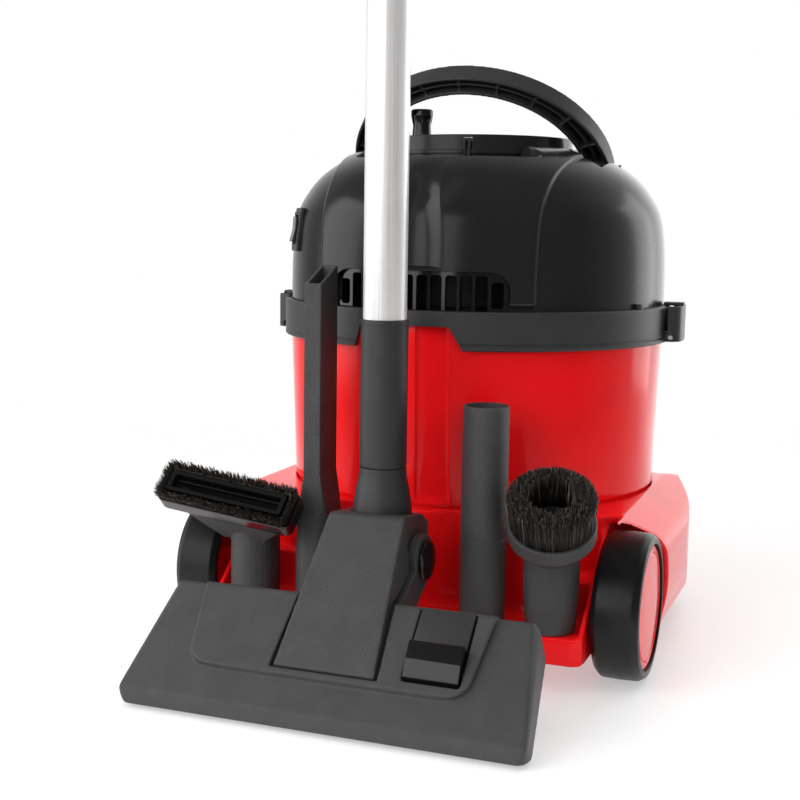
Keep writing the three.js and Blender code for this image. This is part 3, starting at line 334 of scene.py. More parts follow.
BRISTLE = fibre("dark_bristle", ((0.0, (0.004, 0.0036, 0.0034)), (0.72, (0.014, 0.011, 0.009)),
                                 (0.88, (0.075, 0.058, 0.042)), (1.0, (0.24, 0.20, 0.155))))
CLOTH = cloth("filter_cloth", (0.70, 0.69, 0.64))

# ---- mesh helpers -------------------------------------------------------------------------


def new_object(name, mesh):
    thing = bpy.data.objects.new(name, mesh)
    bpy.context.scene.collection.objects.link(thing)
    return thing


def raw(points, faces):
    """An object from points in machine millimetres."""
    mesh = bpy.data.meshes.new("work")
    mesh.from_pydata([to_frame(*p) for p in points], [], faces)
    mesh.validate()
    work = bmesh.new()
    work.from_mesh(mesh)
    bmesh.ops.remove_doubles(work, verts=work.verts, dist=1e-6)
    bmesh.ops.recalc_face_normals(work, faces=work.faces)
    work.to_mesh(mesh)
    work.free()
    return new_object("work", mesh)


def settled(thing):
    """The same object with its modifiers applied."""
    bpy.context.view_layer.update()
    graph = bpy.context.evaluated_depsgraph_get()
    mesh = bpy.data.meshes.new_from_object(thing.evaluated_get(graph))
    thing.modifiers.clear()
    thing.data = mesh
    return thing


def placed(thing, name, material, body, *nodes, sharp=34):
    """Names, colours and mounts a finished piece, which stands for the CAD nodes given."""
    thing.name = name
    thing.data.materials.clear()
    thing.data.materials.append(material)
    thing.data.shade_smooth()
    if sharp:
        thing.data.set_sharp_from_angle(angle=radians(sharp))
    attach(thing, body)
    if nodes:
        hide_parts(*nodes)


def rounded(points, closed=True, steps=5):
    """Rounds the corners of a polyline. A point's third number is its corner's radius."""
    out = []
    count = len(points)
    for i, point in enumerate(points):
        radius = point[2] if len(point) > 2 else 0
        here = Vector(point[:2])
        if not radius or (not closed and i in (0, count - 1)):
            out.append(tuple(here))
            continue
        before, after = Vector(points[i - 1][:2]), Vector(points[(i + 1) % count][:2])
        a, b = before - here, after - here
        reach = radius / max(0.05, tan(a.angle(b) / 2))
        reach = min(reach, a.length * 0.49, b.length * 0.49)
        start, end = here + a.normalized() * reach, here + b.normalized() * reach
        for k in range(steps + 1):
            t = k / steps
            q = (1 - t) ** 2 * start + 2 * t * (1 - t) * here + t * t * end
            out.append(tuple(q))
    return out


def on_axis(axis, a, b, h):
    """A point h along the named axis and (a, b) across it."""
    return {"x": (h, a, b), "y": (a, h, b), "z": (a, b, h)}[axis]


def ring_faces(n, rows, closed):
    """Quads between rows of n points each, with the last row joined to the first."""
    faces = []
    for k in range(rows):
        for i in range(n if closed else n - 1):
            j, q = (i + 1) % n, (k + 1) % rows
            faces.append((k * n + i, k * n + j, q * n + j, q * n + i))
    return faces


def lathe(points, sides=160, closed=True, axis="z", at=(0, 0)):
    """A turned body. Points are (radius, height, corner radius) along the axis given."""
    line = rounded(points, closed)
    rows = []
    for k in range(sides):
        a = 2 * pi * k / sides
        c, s = cos(a), sin(a)
        rows += [on_axis(axis, at[0] + r * c, at[1] + r * s, h) for r, h in line]
    return raw(rows, ring_faces(len(line), sides, closed))


def prism(outline, low, high, axis="z"):
    """An outline extruded along an axis."""
    n = len(outline)
    points = [on_axis(axis, p[0], p[1], h) for h in (low, high) for p in outline]
    faces = [tuple(range(n)), tuple(range(n, 2 * n))]
    faces += [(i, (i + 1) % n, n + (i + 1) % n, n + i) for i in range(n)]
    return raw(points, faces)


def block(x0, x1, y0, y1, z0, z1):
    return prism([(x0, y0), (x1, y0), (x1, y1), (x0, y1)], z0, z1)


def rod(axis, radius, low, high, at, sides=48):
    return lathe([(0, low), (radius, low), (radius, high), (0, high)], sides, False, axis, at)


def combined(first, *others, how="UNION"):
    """Boolean of the first object with each of the others, which are used up."""
    for other in others:
        modifier = first.modifiers.new("combine", "BOOLEAN")
        modifier.operation, modifier.solver, modifier.object = how, "MANIFOLD", other
        settled(first)
        bpy.data.objects.remove(other)
    return first


def cut(first, *others):
    return combined(first, *others, how="DIFFERENCE")


def common(first, *others):
    return combined(first, *others, how="INTERSECT")


def softened(thing, voxel, turns):
    """Remeshes evenly, then relaxes, so that every edge gets a small moulded radius."""
    modifier = thing.modifiers.new("even", "REMESH")
    modifier.mode, modifier.voxel_size = "VOXEL", voxel * MM
    modifier = thing.modifiers.new("relax", "SMOOTH")
    modifier.factor, modifier.iterations = 0.5, turns
    return settled(thing)


def lighter(thing, ratio):
    modifier = thing.modifiers.new("lighter", "DECIMATE")
    modifier.ratio = ratio
    return settled(thing)


def bevelled(thing, width, steps=3):
    modifier = thing.modifiers.new("edge", "BEVEL")
    modifier.width, modifier.segments = width * MM, steps
    modifier.limit_method, modifier.angle_limit = "ANGLE", radians(35)
    return settled(thing)


def from_cad(node):
    """A new object with the shape of a CAD node, to be finished in finer detail."""
    work = bmesh.new()
    work.from_mesh(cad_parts[node].data)
    mesh = bpy.data.meshes.new("copy")
    work.to_mesh(mesh)
    work.free()
    return new_object("copy", mesh)


def relieved(node, name, material, body, voxel, turns):
    """Places a CAD node's shape with its edges moulded soft."""
    placed(softened(from_cad(node), voxel, turns), name, material, body, node)


def turned(angle, axis):
    """A turn about one of the machine's axes, in degrees."""
    return Matrix.Rotation(radians(angle), 4, axis)


def moved(thing, matrix):
    """Moves a working object's own points, about the machine's origin, in millimetres."""
    home = Matrix.Translation(to_frame(0, 0, 0))
    scale = Matrix.Diagonal((MM, MM, MM, 1))
    thing.data.transform(home @ scale @ matrix @ scale.inverted() @ home.inverted())
    return thing


def merged(things):
    """Working objects put together in one mesh, with nothing cut."""
    work = bmesh.new()
    for thing in things:
        work.from_mesh(thing.data)
        bpy.data.objects.remove(thing)
    mesh = bpy.data.meshes.new("merged")
    work.to_mesh(mesh)
    work.free()
    return new_object("merged", mesh)


def smoothstep(low, high, value):
    t = min(1.0, max(0.0, (value - low) / (high - low)))
    return t * t * (3 - 2 * t)


def blend_curve(*control, steps=10):
    """Points of a Bezier curve with any number of control points."""
    points = []
    for k in range(steps + 1):
        level = [Vector(p) for p in control]
        while len(level) > 1:
            level = [a.lerp(b, k / steps) for a, b in zip(level, level[1:])]
        points.append(tuple(level[0]))
    return points


def through(points, steps=8):
    """A smooth line through all the points given."""
    line = [Vector(p) for p in points]
    ends = [2 * line[0] - line[1], *line, 2 * line[-1] - line[-2]]
    out = []
    for a, b, c, d in zip(ends, ends[1:], ends[2:], ends[3:]):
        for k in range(steps):
            t = k / steps
            q = b + (c - a) * t / 2 + (a - 2.5 * b + 2 * c - d / 2) * t * t
            out.append(tuple(q + (1.5 * (b - c) + (d - a) / 2) * t ** 3))
    return out + [tuple(line[-1])]


def divided(points, step):
    """The same polyline with no stretch longer than a step."""
    out = []
    for a, b in zip(points, points[1:]):
        a, b = Vector(a[:2]), Vector(b[:2])
        parts = max(1, ceil((b - a).length / step))
        out += [tuple(a.lerp(b, k / parts)) for k in range(parts)]
    return out + [tuple(points[-1][:2])]


def angles(middle, half, fine, coarse):
    """Angles round a full turn, closer together within `half` of the middle, in degrees."""
    near = [middle - half + fine * k for k in range(ceil(2 * half / fine))]
    rest = 360 - 2 * half
    count = ceil(rest / coarse)
    return near + [middle + half + rest * k / count for k in range(count)]


def skin(line, around, place, closed=False):
    """A turned skin: place(angle, index, radius, height) gives each point's own place."""
    rows = []
    for turn in around:
        a = radians(turn)
        rows += [place(a, i, r, h) for i, (r, h) in enumerate(line)]
    return raw(rows, ring_faces(len(line), len(around), closed))


def mirror_line(points):
    return points + [(-x, y) for x, y in reversed(points)]


def rectangle(width, height, radius, cx=0, cz=0):
    w, h = width / 2, height / 2
    corners = [(cx - w, cz - h), (cx + w, cz - h), (cx + w, cz + h), (cx - w, cz + h)]
    return rounded([(*corner, radius) for corner in corners], steps=8)


def strands(roots, tips, radius, seed):
    """Fine three-sided bristles, each from its root to its tip with a slight bow."""
    pick = random.Random(seed)
    points, faces = [], []
    for root, tip in zip(roots, tips):
        root, tip = Vector(root), Vector(tip)
        bow = Vector([pick.gauss(0, 0.35) for _ in range(3)])
        across = (tip - root).orthogonal().normalized()
        other = (tip - root).normalized().cross(across)
        start = len(points)
        for t, thick in ((0, 1), (0.5, 0.95), (1, 0.45)):
            middle = root.lerp(tip, t) + bow * sin(pi * t)
            for k in range(3):
                a = 2 * pi * k / 3
                points.append(middle + (across * cos(a) + other * sin(a)) * radius * thick)
        for ring in (0, 3):
            for k in range(3):
                j = (k + 1) % 3
                faces.append((start + ring + k, start + ring + j, start + ring + 3 + j,
                              start + ring + 3 + k))
        faces += [(start + 2, start + 1, start), (start + 6, start + 7, start + 8)]
    mesh = bpy.data.meshes.new("strands")
    mesh.from_pydata([to_frame(*p) for p in points], [], faces)
    return new_object("strands", mesh)


# ---- drum, inlet and band -----------------------------------------------------------------

BAND_LOW, BAND_HIGH = 243.7, 274.0
CHANNEL_X, CHANNEL_HALF, CHANNEL_DEPTH = 16, 14, 4.2


def make_drum():
    outline = rounded([
        (0, 62.2), (149, 62.2, 3), (154, 68, 4), (156.4, 112), (156.4, 119, 1), (157.8, 122, 1.5),
        (162, BAND_LOW), (162, 262, 1.3), (158.8, 262, 1.3), (158.8, BAND_LOW), (153.2, 118),
        (147.8, 73, 3), (142.8, 65.4, 3), (0, 65.4)], closed=False)

    def place(a, _, r, h):
        x = r * cos(a)
        u = (x - CHANNEL_X) / CHANNEL_HALF
        if sin(a) < 0 and abs(u) < 1 and r > 100:
            r -= CHANNEL_DEPTH * sqrt(1 - u * u) * smoothstep(121, 128, h)
        return r * cos(a), r * sin(a), h

    wall = skin(divided(outline, 5), angles(-84.4, 6.2, 0.2, 1.5), place)
    inlet = rod("y", 23.3, 130, 175, (0, 178), 64)
    placed(cut(wall, inlet), "drum_wall", RED, "base", "drum")


def make_inlet():
    tube = lathe([(19, 150.2, 1), (23, 150.2, 1), (23, 164), (31, 164, 1), (31, 170, 2), (23, 170, 2),
                  (23, 190, 1), (26, 190, 1.5), (26, 197.8, 1.5), (19, 197.8, 1)],
                 96, axis="y", at=(0, 178))
    placed(cut(tube, block(-5, 5, 180, 187, 195, 202)), "inlet_socket", MATT, "base", "hose_inlet")
    washer = lathe([(23.5, 147.7, 0.6), (29.8, 147.7, 0.6), (29.8, 150, 0.6), (23.5, 150, 0.6)],
                   96, axis="y", at=(0, 178))
    placed(washer, "inlet_washer", RUBBER, "base", "inlet_seal")


CLAMP_TURN = 3.5


def at_clamp(thing, side):
    return moved(thing, turned(CLAMP_TURN if side > 0 else 180 + CLAMP_TURN, "Z"))


def make_band():
    ring = lathe([(162.3, BAND_LOW, 0.8), (167.6, BAND_LOW, 1.4), (167.6, 247.2), (167.0, 247.8),
                  (167.0, 248.8), (167.6, 249.4), (167.6, BAND_HIGH, 1.8), (162.3, BAND_HIGH, 0.8)],
                 288)
    notch = rounded([(-50, 242.7), (-44, 262, 4), (30, 262, 4), (41, 242.7)], steps=6)
    cut(ring, prism(notch, -175, -140, "y"))
    drum_space = rod("z", 162.3, 230, 290, (0, 0), 288)
    for side in (-1, 1):
        for y in (-19, 15):
            arm = rounded([(150, 244.7), (168, 244.7, 2), (174.4, 244.7, 3), (174.4, 251.9, 3),
                           (168, 253.5, 3), (150, 253.5)])
            lug = prism(arm, y, y + 4, "y")
            combined(ring, at_clamp(cut(lug, copy_of(drum_space)), side))
        nub = block(162.5, 166.8, -3, 3, 272, 278)
        bevelled(nub, 1)
        moved(nub, turned(-20 if side > 0 else 200, "Z"))
        combined(ring, cut(nub, copy_of(drum_space)))
        hole = at_clamp(rod("y", 2.3, -30, 30, (171.3, 248.3), 24), side)
        cut(ring, hole)
    bpy.data.objects.remove(drum_space)
    placed(ring, "band_ring", BAND, "base", "rim_band")


def copy_of(thing):
    return new_object("copy", thing.data.copy())


def make_clamp(side, word):
    outer = [(169, -25), (176.5, -21.5), (180.2, -13), (180.2, 13), (176.5, 21.5), (169, 25)]
    inner = [(169, 22.2), (174.6, 19.6), (177.3, 12), (177.3, -12), (174.6, -19.6), (169, -22.2)]
    plan = through(outer, 6) + through(inner, 6)
    plate = prism(plan, 245, 274.6)
    knuckle = rod("y", 3.6, -14.4, 14.2, (171.3, 248.3), 40)
    web = block(171.3, 179.5, -14.4, 14.2, 245, 250.7)
    hook = block(163.6, 180, -6, 6, 274.1, 277)
    shape = combined(plate, knuckle, web, hook)
    cut(shape, rod("y", 2.3, -30, 30, (171.3, 248.3), 32))
    softened(at_clamp(shape, side), 0.55, 5)
    placed(shape, f"{word}_clip_plate", BAND, f"{word}_clip", f"{word}_clamp")


make_drum()
make_inlet()
make_band()
for side, word in ((-1, "left"), (1, "right")):
    make_clamp(side, word)

# ---- head ---------------------------------------------------------------------------------

DOME = [(162, 262.5), (162, 276), (162, 290), (160.8, 322), (157, 347), (148.5, 364), (136, 379),
        (119, 391), (103, 397.5), (90, 400), (84.5, 400.2)]
PANEL_RAISE = 2.6
PANEL_EDGES = [((86, -170), (112, 18)), ((112, 18), (88, 62)), ((88, 62), (-88, 62)),
               ((-88, 62), (-112, 18)), ((-112, 18), (-86, -170))]
GRILLE_LOW, GRILLE_HIGH, GRILLE_HALF = 268, 304, 73
SWITCH_ANGLE, SWITCH_Z = -54.5, 333
PARK_SPAN = 10  # degrees each side of the rear
LEDGE_DROP = 11  # how far the top sinks behind the collar
LEDGE_RADII, LEDGE_ENDS = (112, 122), (38, 43)  # where it fades: mm out, degrees from the rear


def panel_depth(x, y):
    """How far a point of the plan lies inside the raised panel, in millimetres."""
    depth = 1000.0
    for (x0, y0), (x1, y1) in PANEL_EDGES:
        along = Vector((x1 - x0, y1 - y0)).normalized()
        depth = min(depth, along.x * (y - y0) - along.y * (x - x0))
    return depth


def park_depth(x, h):
    """Depth of the upright hollow behind the wand, which narrows and fades up the dome."""
    half = 23 - 9 * smoothstep(320, 388, h)
    if abs(x) >= half:
        return 0.0
    fade = smoothstep(304.5, 308, h) * (1 - smoothstep(360, 394, h))
    return 8 * (1 - (x / half) ** 2) ** 1.25 * fade


def switch_box(width, height, near, far):
    thing = prism(rectangle(width, height, 2.2, 0, SWITCH_Z), near, far, "y")
    return moved(thing, turned(SWITCH_ANGLE, "Z"))


def make_head_cover():
    outer = divided(through(DOME, 10), 1.7)
    normals = []
    for i, point in enumerate(outer):
        before, after = outer[max(0, i - 1)], outer[min(len(outer) - 1, i + 1)]
        along = (Vector(after) - Vector(before)).normalized()
        normals.append(Vector((along.y, -along.x)))
    inner = [tuple(Vector(p) - 3 * n) for p, n in zip(outer, normals)][::-4]
    rims = [(82.5, 399.6), (82.5, 397.4)]
    line = outer + rims + [p for p in inner if p[0] > 83] + [(159, 262.5)]

    def place(a, i, r, h):
        c, s = cos(a), sin(a)
        if i < len(outer):
            inside = smoothstep(0, 4.2, panel_depth(r * c, r * s)) * smoothstep(276, 280, h)
            r += PANEL_RAISE * inside * normals[i].x
            h += PANEL_RAISE * inside * normals[i].y
        if s < 0 and 95 < r:
            r -= park_depth(r * c, h)
        if h > 340:
            away = abs(degrees(a) + 90)
            h -= LEDGE_DROP * (1 - smoothstep(*LEDGE_RADII, r)) * (1 - smoothstep(*LEDGE_ENDS, away))
        return r * c, r * s, h

    turns = [a for a in angles(-90, 78, 0.5, 1.6) if abs(a + 90) > PARK_SPAN]
    turns += [PARK_SPAN * k / 50 - 90 for k in range(-50, 51)]
    cover = skin(line, sorted(turns), place, closed=True)
    for side in (-1, 1):
        wide = rounded([(side * x, y, 2) for x, y in
                        ((85.6, -46), (117.6, -46), (117.6, 44), (85.6, 44))])
        narrow = [(side * x, y) for x, y in ((81.9, -45), (92, -45), (92, -17), (81.9, -17))]
        cut(cover, prism(wide, 366, 412))
        cut(cover, prism(narrow, 366, 412))
    window = rectangle(2 * GRILLE_HALF, GRILLE_HIGH - GRILLE_LOW, 17, 0,
                       (GRILLE_LOW + GRILLE_HIGH) / 2)
    cut(cover, prism(window, -175, -130, "y"), switch_box(20, 30, -170, -140))
    placed(cover, "head_dome", HEAD, "head", "head_cover", sharp=50)


def make_grille():
    middle = (GRILLE_LOW + GRILLE_HIGH) / 2
    hoop = lathe([(156.6, GRILLE_LOW - 1), (160.4, GRILLE_LOW - 1), (160.4, GRILLE_HIGH + 1),
                  (156.6, GRILLE_HIGH + 1)], 288)
    outline = rectangle(2 * GRILLE_HALF - 0.8, GRILLE_HIGH - GRILLE_LOW - 0.8, 16.6, 0, middle)
    grille = common(hoop, prism(outline, -170, -140, "y"))
    pitch, count = 11.4, 12
    for i in range(count):
        tall = 20 if i in (0, count - 1) else 30
        slot = rectangle(pitch - 2.6, tall, 3, (i - (count - 1) / 2) * pitch, middle)
        cut(grille, prism(slot, -175, -135, "y"))
    placed(grille, "grille_slats", SHINY, "head", "exhaust_grille")


def make_reel():
    housing = lathe([(0, 352), (80, 352, 2), (80, 396.4), (82.2, 396.4, 0.5), (82.2, 399.7, 0.5),
                     (80, 399.7, 0.6), (80, 412, 1.2), (77.4, 412, 1.2), (77.4, 355, 1), (4.8, 355),
                     (4.8, 398, 1), (0, 398)], 256, False)
    cut(housing, block(10.5, 17.5, -86, -72, 392, 409.5))
    placed(housing, "reel_cup", HEAD, "head", "reel_housing")
    grommet = prism(rectangle(6.6, 17, 0.8, 14, 400.6), -80.6, -77.2, "y")
    slit = prism(rectangle(1.8, 13, 0.8, 14, 400.6), -80.9, -78.6, "y")
    placed(bevelled(cut(grommet, slit), 0.25, 2), "cable_grommet", RUBBER, "head")
    drum = lathe([(0, 400.3), (5.2, 400.3), (5.2, 356), (74, 356, 1), (74, 358.5, 1), (30, 358.5, 2),
                  (30, 403, 1), (76.8, 403, 0.5), (76.8, 406.5, 1.2), (70, 406.5, 1), (68.5, 405.6, 1),
                  (62, 405.6, 1), (60.5, 406.5, 1), (26, 406.5, 1), (24, 405.4, 1), (0, 405.4)],
                 256, False)
    at = crank_place()
    pin = rod("z", 2.6, 405, 429, at, 32)
    boss = lathe([(0, 405), (9.4, 405), (9.4, 406.7, 0.8), (0, 406.7)], 64, False, at=at)
    placed(combined(drum, pin, boss), "reel_disc", HEAD, "reel", "cable_reel")
    knob = lathe([(0, 430), (2.9, 430), (2.9, 407.2, 0.5), (8.6, 407.2, 1), (7.8, 423), (9.6, 431, 2),
                  (9.6, 435, 1.4), (8.6, 436.4, 1), (5.5, 436, 1), (0, 435.6)], 72, False, at=at)
    for k in range(10):
        a = 2 * pi * k / 10
        flute = rod("z", 1.0, 409, 428, (at[0] + 9.0 * cos(a), at[1] + 9.0 * sin(a)), 16)
        cut(knob, flute)
    placed(knob, "crank_grip", SHINY, "crank", "crank_knob")


def crank_place():
    low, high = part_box("crank_knob")
    middle = to_mm((low + high) / 2)
    return middle.x, middle.y


def make_switch():
    relieved("switch_bezel", "switch_frame", MATT, "head", 0.45, 4)
    relieved("power_rocker", "switch_rocker", SHINY, "switch", 0.4, 4)


def arch(a_out, b_out, a_in, b_in, foot=0, steps=64):
    turns = [pi * k / steps for k in range(steps + 1)]
    outer = [(a_out * cos(t), b_out * sin(t)) for t in turns]
    inner = [(a_in * cos(t), b_in * sin(t)) for t in reversed(turns)]
    if not foot:
        return outer + inner
    return outer + [(-a_out, -foot), (-a_in, -foot)] + inner + [(a_in, -foot), (a_out, -foot)]


def make_handle():
    half, wall, rib = 8.5, 3, 0.9
    oa, ob, ia, ib = 115, 106, 94, 88.5
    ma, mb = (oa + ia) / 2, (ob + ib) / 2
    body = prism(arch(oa, ob, ia, ib, 8), -half, half)
    trough = prism(arch(oa - wall, ob - wall, ia + wall, ib + wall), half - 12.5, half + 1)
    common(trough, block(-oa, oa, 12, ob, -half, half + 2))
    cut(trough, prism(arch(ma + rib, mb + rib, ma - rib, mb - rib), half - 14, half - 2.5))
    for i in range(1, 10):
        a = pi * i / 10
        cross = block(-25, 25, -rib, rib, half - 14, half - 2.5)
        spot = Matrix.Translation((ma * cos(a), mb * sin(a), 0))
        cut(trough, moved(cross, spot @ Matrix.Rotation(a, 4, "Z")))
    cut(body, trough, rod("x", 3.3, -oa - 1, oa + 1, (0, 0), 24))
    lean = Matrix.Translation((0, 10, 388)) @ turned(135, "X")
    softened(moved(body, lean), 0.85, 5)
    placed(body, "handle_arch", MATT, "handle", "carry_handle")


make_head_cover()
make_grille()
make_reel()
make_switch()
make_handle()

# ---- wand and elbow -----------------------------------------------------------------------

WAND = (0, -222)


def make_wand():
    lower = lathe([(15, 236, 0.4), (16, 236, 0.4), (16, 696, 0.5), (16, 698.6, 0.8), (15.6, 700, 0.4),
                   (15, 700, 0.3)], 128, at=WAND)
    placed(lower, "lower_wand", CHROME, "wand_lower", "wand_lower_tube")
    upper = lathe([(13.6, 662, 0.4), (14.6, 662, 0.4), (14.6, 700.3), (16, 702, 0.6), (16, 1119.6, 0.4),
                   (15, 1119.6, 0.3), (15, 702.6, 0.5), (13.6, 700.3)], 128, at=WAND)
    placed(upper, "upper_wand", CHROME, "wand_upper", "wand_upper_tube")
    cuff = lathe([(14, 162.4), (16.9, 162.4, 0.3), (17.4, 164, 0.5), (17.4, 266), (17.1, 266.4),
                  (17.1, 267.4), (17.4, 267.8), (17.4, 270.4, 0.8), (16.3, 271, 0.3), (16.3, 235.7),
                  (14, 235.7)], 128, at=WAND)
    placed(cuff, "cuff_sleeve", MATT, "cuff", "wand_cuff")
    flare = through([(22, 128), (21.4, 135), (19.6, 146), (17.8, 155), (17.4, 160)], 6)
    neck = lathe([(14, 118.6), (21.4, 118.6, 0.6), (22, 120, 0.6)] + flare + [(17.4, 161.9, 0.3),
                                                                            (14, 161.9)], 128, at=WAND)
    placed(neck, "neck_sleeve", MATT, "elbow", "elbow_neck")


def make_elbow():
    relieved("elbow_housing", "elbow_shield", TOOL, "elbow", 0.9, 9)
    at = (-228, 96)
    pin = lathe([(0, -40), (13, -40, 1), (15, -39, 1), (15, -36.7, 0.3), (6, -36.7), (6, 36.7),
                 (15, 36.7, 0.3), (15, 39, 1), (13, 40, 1), (0, 40)], 96, False, "x", at)
    placed(pin, "elbow_pivot", SHINY, "elbow", "elbow_pin")


make_wand()
make_elbow()

# ---- floor tool ---------------------------------------------------------------------------

TOOL_TILT, TOOL_FRONT = 34, (-333, 1.5)


def in_tool(thing):
    """Places a shape made flat, y from the tool's front edge, on the leaning tool."""
    lean = Matrix.Translation((0, *TOOL_FRONT)) @ turned(TOOL_TILT, "X")
    return moved(thing, lean)


def tool_spot(x, y, z):
    c, s = cos(radians(TOOL_TILT)), sin(radians(TOOL_TILT))
    return x, TOOL_FRONT[0] + y * c - z * s, TOOL_FRONT[1] + y * s + z * c


def bristle_row(y0, y1, seed):
    pick = random.Random(seed)
    roots, tips = [], []
    for _ in range(1500):
        x, y = pick.uniform(-132.6, 132.6), pick.uniform(y0 + 0.9, y1 - 0.9)
        roots.append(tool_spot(x, y, 9.5))
        lean = pick.uniform(-0.3, 0.3)
        tips.append(tool_spot(x + lean, y + lean / 2, pick.uniform(0.4, 1)))
    core = in_tool(block(-134, 134, y0 + 0.3, y1 - 0.3, 4, 10))
    return merged([strands(roots, tips, 0.22, seed), bevelled(core, 0.4)])


TOOL_HALF, TOOL_BACK, TOOL_DEPTH, TOOL_WALL = 150, 139, 84, 2.6
TOOL_NOSE, TOOL_LIP = (-13.6, 10.4), (-6.5, 20.2)
PLATEAU_RISE = 5.2


def tool_top(y):
    """Height of the tool's top over its sole at a distance from its front edge."""
    return 20 + 0.19 * y


def tool_form(inset):
    low = -3 if inset else 0.6
    front = inset if inset else TOOL_NOSE[0]
    d, half, back = TOOL_DEPTH, TOOL_HALF - inset, TOOL_BACK - inset
    nose = [(inset, tool_top(0) - inset, 5)] if inset else [(*TOOL_NOSE, 2), (*TOOL_LIP, 3)]
    side = rounded([(inset, low), *nose, (d - inset, tool_top(d) - inset, 4), (d - inset, low)],
                   steps=8)
    plan = mirror_line(rounded([(0, front), (half, front, 12), (back, d - inset, 9), (0, d - inset)],
                               closed=False, steps=8)[1:-1])
    across = [(-half, low), (half, low), (half - 1, 19), (131 - inset, 38), (-131 + inset, 38),
              (1 - half, 19)]
    return common(prism(side, -half, half, "x"), prism(plan, low, 40),
                  prism(across, front - 1, 90, "y"))


def tool_plateau():
    d = TOOL_DEPTH
    side = rounded([(16, tool_top(16) - 3), (18, tool_top(18) + PLATEAU_RISE, 2),
                    (d - 3, tool_top(d - 3) + PLATEAU_RISE, 4), (d - 0.6, tool_top(d) - 3)], steps=6)
    front = blend_curve((0, 15.6), (60, 15.6), (92, 18.4), steps=6)
    plan = mirror_line([*front[1:-1], *blend_curve((90, 18), (101, 20), (104, 31), steps=8), (111, d)])
    return common(prism(side, -112, 112, "x"), prism(plan, 12, 50))


def tool_arm(x0, x1):
    """One of the two lugs that carry the elbow's barrel, in the tool's own frame."""
    c, s = cos(radians(TOOL_TILT)), sin(radians(TOOL_TILT))
    dy, dz = -228 - TOOL_FRONT[0], 96 - TOOL_FRONT[1]
    y, z = dy * c + dz * s, dz * c - dy * s
    web = prism([(79, 3), (y, 1), (y, 25), (118, 26), (100, 27), (83, 31)], x0, x1, "x")
    return combined(rod("x", 19, x0, x1, (y, z), 64), web), (y, z)


def make_tool_shell():
    outside = softened(tool_form(0), 1.1, 4)
    body = combined(outside, softened(tool_plateau(), 0.9, 4))
    cut(body, tool_form(TOOL_WALL))
    for x0, x1 in ((-36.3, -28.3), (28.3, 36.3)):
        arm, knuckle = tool_arm(x0, x1)
        combined(body, arm)
    pocket = common(prism([(-40, 22.5), (40, 22.5), (36, 85), (-36, 85)], 20, 60),
                    prism([(22.5, tool_top(22.5)), (22.5, 50), (85, 60), (85, tool_top(85))],
                          -41, 41, "x"))
    well = prism([(p[0] + 76.5, p[1] + 52.5) for p in rectangle(41, 55, 2)], 10, 50)
    cut(body, pocket, block(-18, 18, 40, 72, 20, 45), well)
    for x in (53, 97):
        combined(body, block(x, x + 3, 46, 56, 17, 28))
    cut(body, rod("x", 6.3, -50, 50, knuckle, 48), rod("x", 2.3, 52, 101, (51, 22), 24))
    return in_tool(softened(body, 0.85, 3))


def over_plateau(y, rise, *radius):
    return y, tool_top(y) + PLATEAU_RISE + rise, *radius


def make_pedal():
    """A raised glossy rocker below its pivot, with a flat matt key plate above it."""
    side = rounded([over_plateau(27, -5), over_plateau(27, 1.6, 1.2), over_plateau(37, 6.2, 9),
                    over_plateau(48.6, 8.4, 1.8), over_plateau(50.4, 7.0, 0.8),
                    over_plateau(51.2, -2.2, 0.4), over_plateau(78.8, -2.2), over_plateau(78.8, -5),
                    (55, 20), (51, 18.6), (47, 20)], steps=8)
    body = cut(prism(side, 57, 96, "x"), rod("x", 2.3, 56, 97, (51, 22), 24))
    placed(in_tool(bevelled(body, 1.0)), "pedal_cap", SHINY, "pedal", "rocker_pedal")
    key = prism([over_plateau(52, -2), over_plateau(52, 0.9), over_plateau(78.8, 0.9),
                 over_plateau(78.8, -2)], 57.2, 95.8, "x")
    placed(in_tool(bevelled(key, 0.9)), "pedal_key", MATT, "pedal")


def make_floor_tool():
    placed(make_tool_shell(), "tool_shell", TOOL, "floor_tool", "floor_tool_body", sharp=60)
    sole = bevelled(from_cad("sole_plate"), 0.4, 2)
    placed(sole, "tool_sole", STEEL, "floor_tool", "sole_plate")
    placed(bristle_row(10, 13.4, 11), "front_bristles", BRISTLE, "front_strip",
           "front_bristle_strip", sharp=0)
    placed(bristle_row(55, 58.4, 12), "rear_bristles", BRISTLE, "rear_strip",
           "rear_bristle_strip", sharp=0)
    for side, word in ((-1, "left"), (1, "right")):
        x = side * 112
        roller = lathe([(0, x - 5.8), (5, x - 5.8, 1), (6, x - 4.6, 1), (6, x + 4.6, 1),
                        (5, x + 5.8, 1), (0, x + 5.8)], 48, False, "x")
        moved(roller, Matrix.Translation(tool_spot(0, 71.5, 5.6)))
        placed(roller, f"{word}_roller", RUBBER, f"{word}_roller", f"{word}_tool_roller")
    make_pedal()


# ---- stowed hand tools --------------------------------------------------------------------

STOW_Y, STOW_Z = -190, 43.3
NOZZLE_X, DUSTER_X, ADAPTER_X = -121, 122, 69


def make_crevice():
    relieved("crevice_tool", "crevice_pipe", TOOL, "crevice", 0.75, 7)


def make_adapter():
    tube = lathe([(15.8, 43.4, 0.5), (17.2, 43.4, 0.5), (17.5, 103.3), (17.5, 108), (17.2, 108.4),
                  (17.2, 109.4), (17.5, 109.8), (17.3, 206.3, 0.8), (16.6, 207.8, 0.6),
                  (15.6, 207.8, 0.6), (15.6, 103.3)], 128, at=(ADAPTER_X, STOW_Y))
    placed(tube, "adapter_tube", TOOL, "adapter", "hose_adapter")


